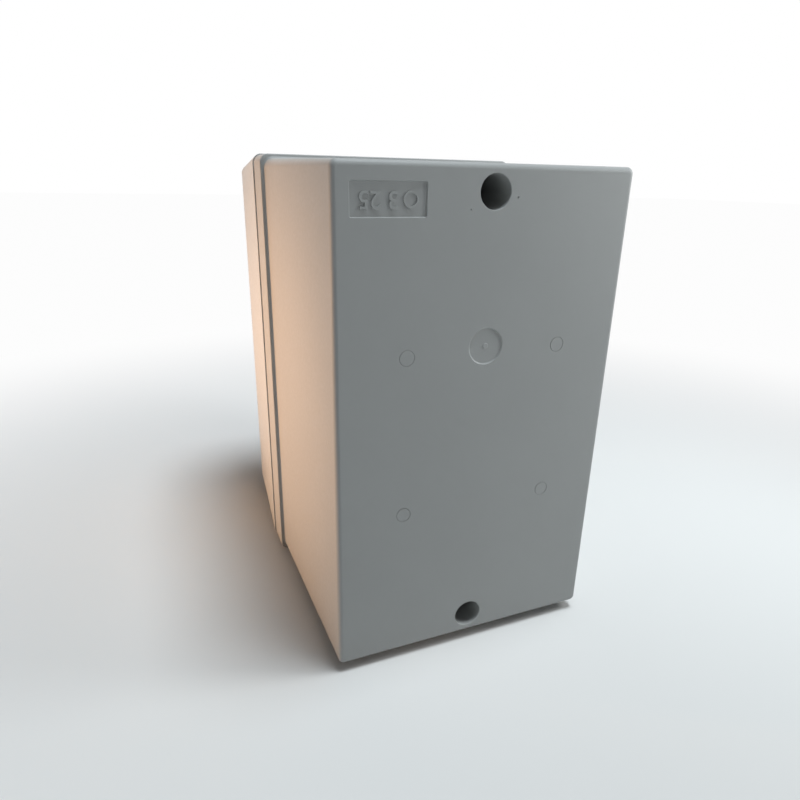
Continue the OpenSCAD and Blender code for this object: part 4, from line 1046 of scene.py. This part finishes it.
# ---- Bimetals and heaters ----
# A bimetal strip on a foot in each bay, with a flat heater ribbon wound round it and welded by its
# ends to the bar above and the bar below.
bimetal = plated_metal("bimetal", (0.56, 0.54, 0.49), gloss=0.58, marks_scale=1300.0)
heater_alloy = plated_metal("heater_alloy", (0.50, 0.40, 0.29), gloss=0.52, marks_scale=1300.0)
eased("bimetal_strips", "bimetals", "base", bimetal, ease=0.00008)
heater_low, heater_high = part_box("heater_windings")
heater_z = middle("bimetals").z
ribbon_half = (0.0019, 0.0045)
ribbon_width = 0.0015
ribbon_pitch = 0.0026
ribbon_first_y = heater_low.y + 0.0008
ribbon_turns = 9.2
lead_half = 0.0006
front_lead_y = ribbon_first_y + ribbon_pitch
back_lead_y = ribbon_first_y + 8.1 * ribbon_pitch


def ribbon(data, x):
    """One flat strip wound as a rounded helix, from its front lead to its back one."""
    per_turn = 28
    last = round(ribbon_turns * per_turn)
    rows = []
    for i in range(last + 1):
        a = math.pi / 2 + math.tau * i / per_turn
        c, s = math.cos(a), math.sin(a)
        on_axis = Vector((x, ribbon_first_y + ribbon_pitch * i / per_turn, heater_z))
        flat = Vector((math.copysign(abs(c) ** 0.6, c) * ribbon_half[0], 0,
                       math.copysign(abs(s) ** 0.6, s) * ribbon_half[1]))
        thick = flat.normalized() * 0.0004
        half_width = Vector((0, ribbon_width / 2, 0))
        corners = (half_width, -half_width, thick - half_width, thick + half_width)
        rows.append([data.verts.new(on_axis + flat + shift) for shift in corners])
    skin(data, rows)


ribbons = bmesh.new()
for x in load_poles:
    ribbon(ribbons, x)
    bar(ribbons, (x - lead_half, x + lead_half), (front_lead_y - lead_half, front_lead_y + lead_half),
        (heater_z + ribbon_half[1], heater_high.z))
    bar(ribbons, (x - lead_half, x + lead_half), (back_lead_y - lead_half, back_lead_y + lead_half),
        (heater_low.z, heater_z - ribbon_half[1]))
piece_from("heater_ribbons", ribbons, "base", heater_alloy, "heater_windings", slot="bimetal")

# ---- Trip works ----
# A brown slider across the three strips, a white lever on its own pin, and the dial with its cam.
slider_plastic = moulded_plastic("slider_plastic", (0.30, 0.085, 0.035), gloss=0.42, grain=2300, mottle=0.12)
eased("slide_bar", "trip_slider", "slider", slider_plastic, ease=0.00015)
eased("lever_arm", "trip_lever", "lever", white_plastic)
eased("dial_and_cam", "setting_dial", "dial", white_plastic)


def ribs_tree():
    """Sets one rib again and again round the depth, evenly over an arc about a centre."""
    tree, given, end_with = growing_tree("ribs_round_a_centre", ("Rib", "Object"), ("Count", "Int"),
                                         ("First angle", "Float"), ("Step angle", "Float"),
                                         ("Centre", "Vector"), ("Finish", "Material"))
    link = tree.links.new
    ring = add(tree, "GeometryNodeMeshLine")
    place = copies(tree, ring.outputs["Mesh"], given.outputs["Rib"])
    number = add(tree, "GeometryNodeInputIndex")
    angle = calc(tree, "ADD", calc(tree, "MULTIPLY", number.outputs[0], given.outputs["Step angle"]),
                 given.outputs["First angle"])
    turn_by = add(tree, "ShaderNodeCombineXYZ")
    shift = add(tree, "GeometryNodeTranslateInstances")
    shift.inputs["Local Space"].default_value = False
    ring.inputs["Offset"].default_value = (0, 0, 0)
    link(given.outputs["Count"], ring.inputs["Count"])
    link(angle, turn_by.inputs["Y"])
    link(turn_by.outputs[0], place.inputs["Rotation"])
    link(place.outputs["Instances"], shift.inputs["Instances"])
    link(given.outputs["Centre"], shift.inputs["Translation"])
    return end_with(shift.outputs["Instances"])


ribs = ribs_tree()
dial_x = middle("setting_dial").x
dial_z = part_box("setting_dial")[1].z - 0.0045
scale_face_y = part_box("relay_cover")[0].y
scale_mark = object_from("scale_mark", eased_bar(
    (0.0053, 0.0069), (scale_face_y - 0.00012, scale_face_y + 0.0001), (-0.00016, 0.00016), 0.00004))
scale = grown("dial_scale", ribs, Rib=scale_mark, Count=9, First_angle=math.radians(-210),
              Step_angle=math.radians(30), Centre=(dial_x, 0.0, dial_z), Finish=dark_plastic)
finish_piece(scale, "base", dark_plastic)

# ---- Reset button ----
# A blue plastic plunger with a collar, on a small coil spring.
smooth_grain = 0.000006
blue_plastic = moulded_plastic("blue_plastic", (0.012, 0.045, 0.22), gloss=0.72, grain_depth=smooth_grain)
reset_low, reset_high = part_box("reset_button")
reset_z = middle("reset_button").z
reset_radius = 0.003
collar_radius = (reset_high.z - reset_low.z) / 2
piece_from("reset_plunger", turn_profile(bmesh.new(), (
    (collar_radius - 0.0003, reset_high.y), (collar_radius, reset_high.y - 0.0003),
    (collar_radius, reset_high.y - 0.0017), (collar_radius - 0.0003, reset_high.y - 0.002),
    (reset_radius, reset_high.y - 0.002), (reset_radius, reset_low.y + 0.0006),
    (reset_radius - 0.0002, reset_low.y + 0.0002), (reset_radius - 0.0006, reset_low.y),
), 0, reset_z, 40), "reset_push", blue_plastic, "reset_button")
foot_y, spring_run = back_and_run("reset_spring")
coil = spring_piece("reset_coil", (0, foot_y, reset_z), to_the_front, 0.0037, 0.0003, spring_run, 6.0,
                    "base", "reset_spring")
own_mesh(coil)

# ---- Control wires ----
# Four dark blue stranded wires, each in a PVC jacket with a crimped ferrule on both ends, in smooth
# bends between the coil, the start block and the relay. Routes are in millimetres, right, up and out.
wire_radius = 0.0011
ferrule_radius = 0.0008
ferrule_length = 0.0022
wire_routes = (
    ((22.6, 28, 98.8), (25, 28, 98.8), (30, 40, 90), (30, 56, 74), (23, 65, 62), (16, 64.5, 58.8),
     (15, 59.1, 58.7)),
    ((-22.6, 28, 98.8), (-25, 28, 98.8), (-32, 43, 88), (-31, 60, 66), (-25, 70, 51), (-17, 71, 45),
     (-16, 67.1, 44.5)),
    ((16, 67.1, 44.5), (17, 71, 45), (27, 68, 50), (33, 52, 54), (34, 20, 55), (34, -30, 54), (31, -54, 53),
     (24, -66, 57), (18, -66, 60), (17.4, -61.1, 60.2)),
    ((15, -7.3, 59.6), (15, -7.3, 72), (16, -7.8, 86), (22, -14, 93), (29, -28, 90), (31, -46, 80),
     (28, -62, 73), (20, -68, 66), (13.5, -66.5, 61.5), (12.6, -61.1, 60.2)),
)


def smooth_route(route, steps=10):
    """A smooth curve through the route's points, in the box's own directions."""
    points = [Vector((x, -out, up)) / 1000 for x, up, out in route]
    last = len(points) - 1
    line = []
    for i in range(last):
        a, b, c, d = points[max(i - 1, 0)], points[i], points[i + 1], points[min(i + 2, last)]
        for step in range(steps):
            t = step / steps
            line.append(0.5 * (2 * b + (c - a) * t + (2 * a - 5 * b + 4 * c - d) * t * t
                               + (3 * b - a - 3 * c + d) * t * t * t))
    return line + [points[last]]


def sweep(data, line, radii, sides=12):
    """A round skin along a line; radii gives the radius at each point."""
    heading = [(line[min(i + 1, len(line) - 1)] - line[max(i - 1, 0)]).normalized() for i in range(len(line))]
    side = heading[0].cross(Vector((0.1, 0.2, 1))).normalized()
    rows = []
    for point, way, radius in zip(line, heading, radii):
        side = (side - side.dot(way) * way).normalized()
        other = way.cross(side)
        rows.append([data.verts.new(point + radius * (math.cos(a) * side + math.sin(a) * other))
                     for a in (math.tau * k / sides for k in range(sides))])
    skin(data, rows)


jackets, ferrules = bmesh.new(), bmesh.new()
for route in wire_routes:
    line = smooth_route(route)
    length = [0.0]
    for near, far in zip(line, line[1:]):
        length.append(length[-1] + (far - near).length)
    cover_part = [p for p, run in zip(line, length) if ferrule_length <= run <= length[-1] - ferrule_length]
    sweep(jackets, cover_part, [wire_radius] * len(cover_part))
    for tip_line in (line[:line.index(cover_part[0]) + 1], line[line.index(cover_part[-1]):]):
        sweep(ferrules, tip_line, [ferrule_radius] * len(tip_line))
wire_insulation = moulded_plastic("wire_insulation", (0.012, 0.022, 0.11), gloss=0.66,
                                  grain_depth=smooth_grain, mottle=0.08)
piece_from("wire_jackets", jackets, "base", wire_insulation, "control_wires")
piece_from("wire_ferrules", ferrules, "base", tinned_brass)

# ---- Cover gasket ----
# A black rubber cord ring, pressed into the groove of the rim and crowned where the cover lands on it.
gasket_low, gasket_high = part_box("cover_gasket")
gasket_inset = (flange_width - (gasket_high.x - gasket_low.x)) / 2
gasket = bmesh.new()
gasket_rows = []
for inset, y in (
    (0, gasket_high.y), (0, gasket_low.y + 0.0005), (0.0003, gasket_low.y + 0.00015), (0.0007, gasket_low.y),
    (0.0012, gasket_low.y), (0.0016, gasket_low.y + 0.00015), (0.0019, gasket_low.y + 0.0005),
    (0.0019, gasket_high.y),
):
    total = gasket_inset + inset
    ring = rounded_ring(flange_width - 2 * total, flange_height - 2 * total, flange_radius - total, y)
    gasket_rows.append([gasket.verts.new(p) for p in ring])
piece_from("gasket_cord", skin(gasket, gasket_rows, endless=True), "base", gasket_rubber, "cover_gasket")

# ---- Front cover ----
# A second moulding, glossier than the housing, that tapers to a well rounded front. It has a sunk
# screw well in each corner and two round holes for the push buttons.
cover_width = cover_high.x - cover_low.x
cover_height = cover_high.z - cover_low.z
cover_taper = 0.00315
cover_radius = flange_radius + 0.0004
front_edge = 0.006
side_end_y = cover_low.y + front_edge
well_radius = 0.0041
well_seat_y = cover_low.y + 0.017
button_z = {name: middle(f"{name}_bezel").z for name in ("start", "stop")}
button_hole = 0.01115


def cover_skins():
    """The outside of the cover, and the hollow that is cut out of it."""
    rings = edge_rings(cover_width, cover_height, cover_radius, cover_high.y, -1, 0.00025, steps=3)
    for share in (0.33, 0.66):
        inset = cover_taper * share
        rings.append(rounded_ring(cover_width - 2 * inset, cover_height - 2 * inset, cover_radius,
                                  cover_high.y + (side_end_y - cover_high.y) * share))
    rings += reversed(edge_rings(cover_width - 2 * cover_taper, cover_height - 2 * cover_taper, cover_radius,
                                 cover_low.y, 1, front_edge, steps=14, even=True))
    inside_radius = cover_radius - 0.002
    narrower = 2 * (cover_taper + wall)
    hollow = [rounded_ring(cover_width - 2 * wall, cover_height - 2 * wall, inside_radius,
                           cover_high.y + 0.001)]
    hollow += reversed(edge_rings(cover_width - narrower, cover_height - narrower, inside_radius,
                                  cover_low.y + wall, 1, front_edge - wall / 2, steps=8, even=True))
    return loft(bmesh.new(), rings), loft(bmesh.new(), hollow)


outside, hollow = cover_skins()
cover = object_from("cover_shell", outside)
scene.collection.objects.link(cover)
combine(cover, hollow, "DIFFERENCE")
wells = bmesh.new()
for sx, sz in four_corners:
    turn_profile(wells, ((0.0053, cover_high.y), (0.0053, cover_low.y + 0.0025)),
                 sx * boss_x, sz * boss_z, 40)
combine(cover, wells, "UNION")
holes = bmesh.new()
for sx, sz in four_corners:
    turn_profile(holes, ((0.0021, cover_high.y + 0.001), (0.0021, well_seat_y), (well_radius, well_seat_y),
                         (well_radius, cover_low.y + 0.0003), (well_radius + 0.0003, cover_low.y),
                         (well_radius + 0.0003, cover_low.y - 0.001)), sx * boss_x, sz * boss_z, 48)
for z in button_z.values():
    turn_profile(holes, ((button_hole, cover_low.y + 2 * wall), (button_hole, cover_low.y - 0.001)), 0, z, 64)
combine(cover, holes, "DIFFERENCE")
cover_plastic = moulded_plastic("cover_plastic", (0.44, 0.448, 0.44), gloss=0.62,
                                grain_depth=smooth_grain, shine=0.35)
finish_piece(cover, "cover", cover_plastic, "front_cover")
even_normals(cover)

# ---- Cover screws ----
# Four captive pan-head screws with a crossed recess, zinc plated, at the bottom of the wells.
cover_screw = screw_mesh("cover_screw", 0.0035, 0.003, 0.002, 0.0575, 0.0007, "cross")
well_seats = [(sx * boss_x, well_seat_y, sz * boss_z) for sx, sz in four_corners]
set_fasteners("captive_screws", cover_screw, well_seats, 3, any_turn, "cover", zinc_screw, "cover_screws")

# ---- Push buttons ----
# Two 22 mm push buttons. Each has a black bezel clamped through the cover by a notched ring nut over a
# rubber seal, a coloured cap on a white stem, and a coil spring between the bezel's floor and the cap.
green_plastic = moulded_plastic("green_plastic", (0.012, 0.19, 0.055), gloss=0.76, grain_depth=smooth_grain)
red_plastic = moulded_plastic("red_plastic", (0.46, 0.012, 0.010), gloss=0.76, grain_depth=smooth_grain)
cap_radius = 0.009
sleeve_radius = cap_radius + 0.002
bezel_radius = cap_radius + 0.0055
seal_t = 0.0008
bezel_t = 0.0027
bezel_end_y = cover_low.y + 0.018
bezel_floor_y = bezel_end_y - 0.003
cap_back_y = bezel_floor_y - 0.010
stem_radius = 0.003


def turned(name, profile, z, body, material, *stands_for):
    """A piece turned from a closed outline of (radius, y) pairs round the depth at height z."""
    outline = turned_ring(bmesh.new(), profile, Vector((0, 0, z)), across, 72)
    return piece_from(name, outline, body, material, *stands_for)


nut_low, nut_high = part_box("start_nut")
nut_radius = (nut_high.x - nut_low.x) / 2
nut_rib = object_from("nut_rib", eased_bar(
    (nut_radius - 0.0009, nut_radius - 0.00005), (nut_low.y + 0.0003, nut_high.y - 0.0003),
    (-0.0007, 0.0007), 0.0002))
both_buttons = (("start", green_plastic, "start_push"), ("stop", red_plastic, "stop_push"))
for name, cap_plastic, push_body in both_buttons:
    z = button_z[name]
    face_y = cover_low.y - seal_t - bezel_t
    flange_y0 = cover_low.y - seal_t
    bore = cap_radius + 0.0001
    turned(f"{name}_bezel_ring", (
        (stem_radius + 0.0001, bezel_end_y), (sleeve_radius - 0.0003, bezel_end_y),
        (sleeve_radius, bezel_end_y - 0.0003), (sleeve_radius, flange_y0), (bezel_radius - 0.0002, flange_y0),
        (bezel_radius, flange_y0 - 0.0002), (bezel_radius, flange_y0 - 0.0009),
        (bezel_radius - 0.0003, flange_y0 - 0.0015), (bezel_radius - 0.0011, face_y + 0.0005),
        (bezel_radius - 0.0021, face_y + 0.0001), (bezel_radius - 0.0031, face_y), (bore + 0.0005, face_y),
        (bore + 0.00015, face_y + 0.00015), (bore, face_y + 0.0005), (bore, bezel_floor_y),
        (stem_radius + 0.0001, bezel_floor_y),
    ), z, "cover", black_plastic, f"{name}_bezel")
    turned(f"{name}_seal_ring", (
        (sleeve_radius + 0.0001, cover_low.y), (bezel_radius - 0.0011, cover_low.y),
        (bezel_radius - 0.001, cover_low.y - seal_t / 2), (bezel_radius - 0.0011, flange_y0),
        (sleeve_radius + 0.0001, flange_y0),
    ), z, "cover", gasket_rubber, f"{name}_seal")
    turned(f"{name}_ring_nut", (
        (sleeve_radius + 0.0001, nut_high.y), (nut_radius - 0.0008, nut_high.y),
        (nut_radius - 0.0005, nut_high.y - 0.0003), (nut_radius - 0.0005, nut_low.y + 0.0003),
        (nut_radius - 0.0008, nut_low.y), (sleeve_radius + 0.0001, nut_low.y),
    ), z, "cover", black_plastic, f"{name}_nut")
    grip = grown(f"{name}_nut_ribs", ribs, Rib=nut_rib, Count=24, First_angle=0.0, Step_angle=math.tau / 24,
                 Centre=(0.0, 0.0, z), Finish=black_plastic)
    finish_piece(grip, "cover", black_plastic)

    # The cap: a cylinder with an eased rim, a dished face and the socket of its stem behind
    cap_face_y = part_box(f"{name}_button")[0].y
    dish_y = cap_face_y + 0.0006
    piece_from(f"{name}_cap", turn_profile(bmesh.new(), (
        (stem_radius + 0.00005, cap_back_y - 0.005), (stem_radius + 0.00005, cap_back_y),
        (cap_radius - 0.0003, cap_back_y), (cap_radius, cap_back_y - 0.0003),
        (cap_radius, cap_face_y + 0.0008),
        (cap_radius - 0.00015, cap_face_y + 0.00035), (cap_radius - 0.0005, cap_face_y + 0.0001),
        (cap_radius - 0.0009, cap_face_y), (cap_radius - 0.0013, cap_face_y + 0.00008),
        (cap_radius - 0.0018, cap_face_y + 0.00035), (cap_radius - 0.0032, dish_y - 0.00005),
        (cap_radius - 0.006, dish_y),
    ), 0, z, 72), push_body, cap_plastic, f"{name}_button")
    stem_low, stem_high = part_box(f"{name}_stem")
    collar = (bezel_end_y + 0.0001, bezel_end_y + 0.0025)
    piece_from(f"{name}_rod", turn_profile(bmesh.new(), (
        (stem_radius - 0.0006, stem_high.y), (stem_radius, stem_high.y - 0.0006), (stem_radius, collar[1]),
        (stem_radius + 0.0012, collar[1]), (stem_radius + 0.0015, collar[1] - 0.0003),
        (stem_radius + 0.0015, collar[0] + 0.0003), (stem_radius + 0.0012, collar[0]),
        (stem_radius, collar[0]),
        (stem_radius, stem_low.y + 0.0004), (stem_radius - 0.0004, stem_low.y),
    ), 0, z, 36), push_body, white_plastic, f"{name}_stem")
    coil = spring_piece(f"{name}_coil", (0, bezel_floor_y, z), to_the_front, stem_radius + 0.0029,
                        0.0006, 0.010, 5.0, "cover", f"{name}_spring")
    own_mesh(coil)

    # The mark on the cap, moulded in white: a bar for start, a ring for stop
    if name == "start":
        mark = eased_bar((-0.0007, 0.0007), (dish_y - 0.00035, dish_y + 0.0001), (z - 0.0032, z + 0.0032),
                         0.0001, 2)
    else:
        mark = turned_ring(bmesh.new(), (
            (0.0021, dish_y + 0.0001), (0.0034, dish_y + 0.0001), (0.0034, dish_y - 0.00025),
            (0.0033, dish_y - 0.00035), (0.0022, dish_y - 0.00035), (0.0021, dish_y - 0.00025),
        ), Vector((0, 0, z)), across, 64)
    piece_from(f"{name}_mark", mark, push_body, white_plastic)
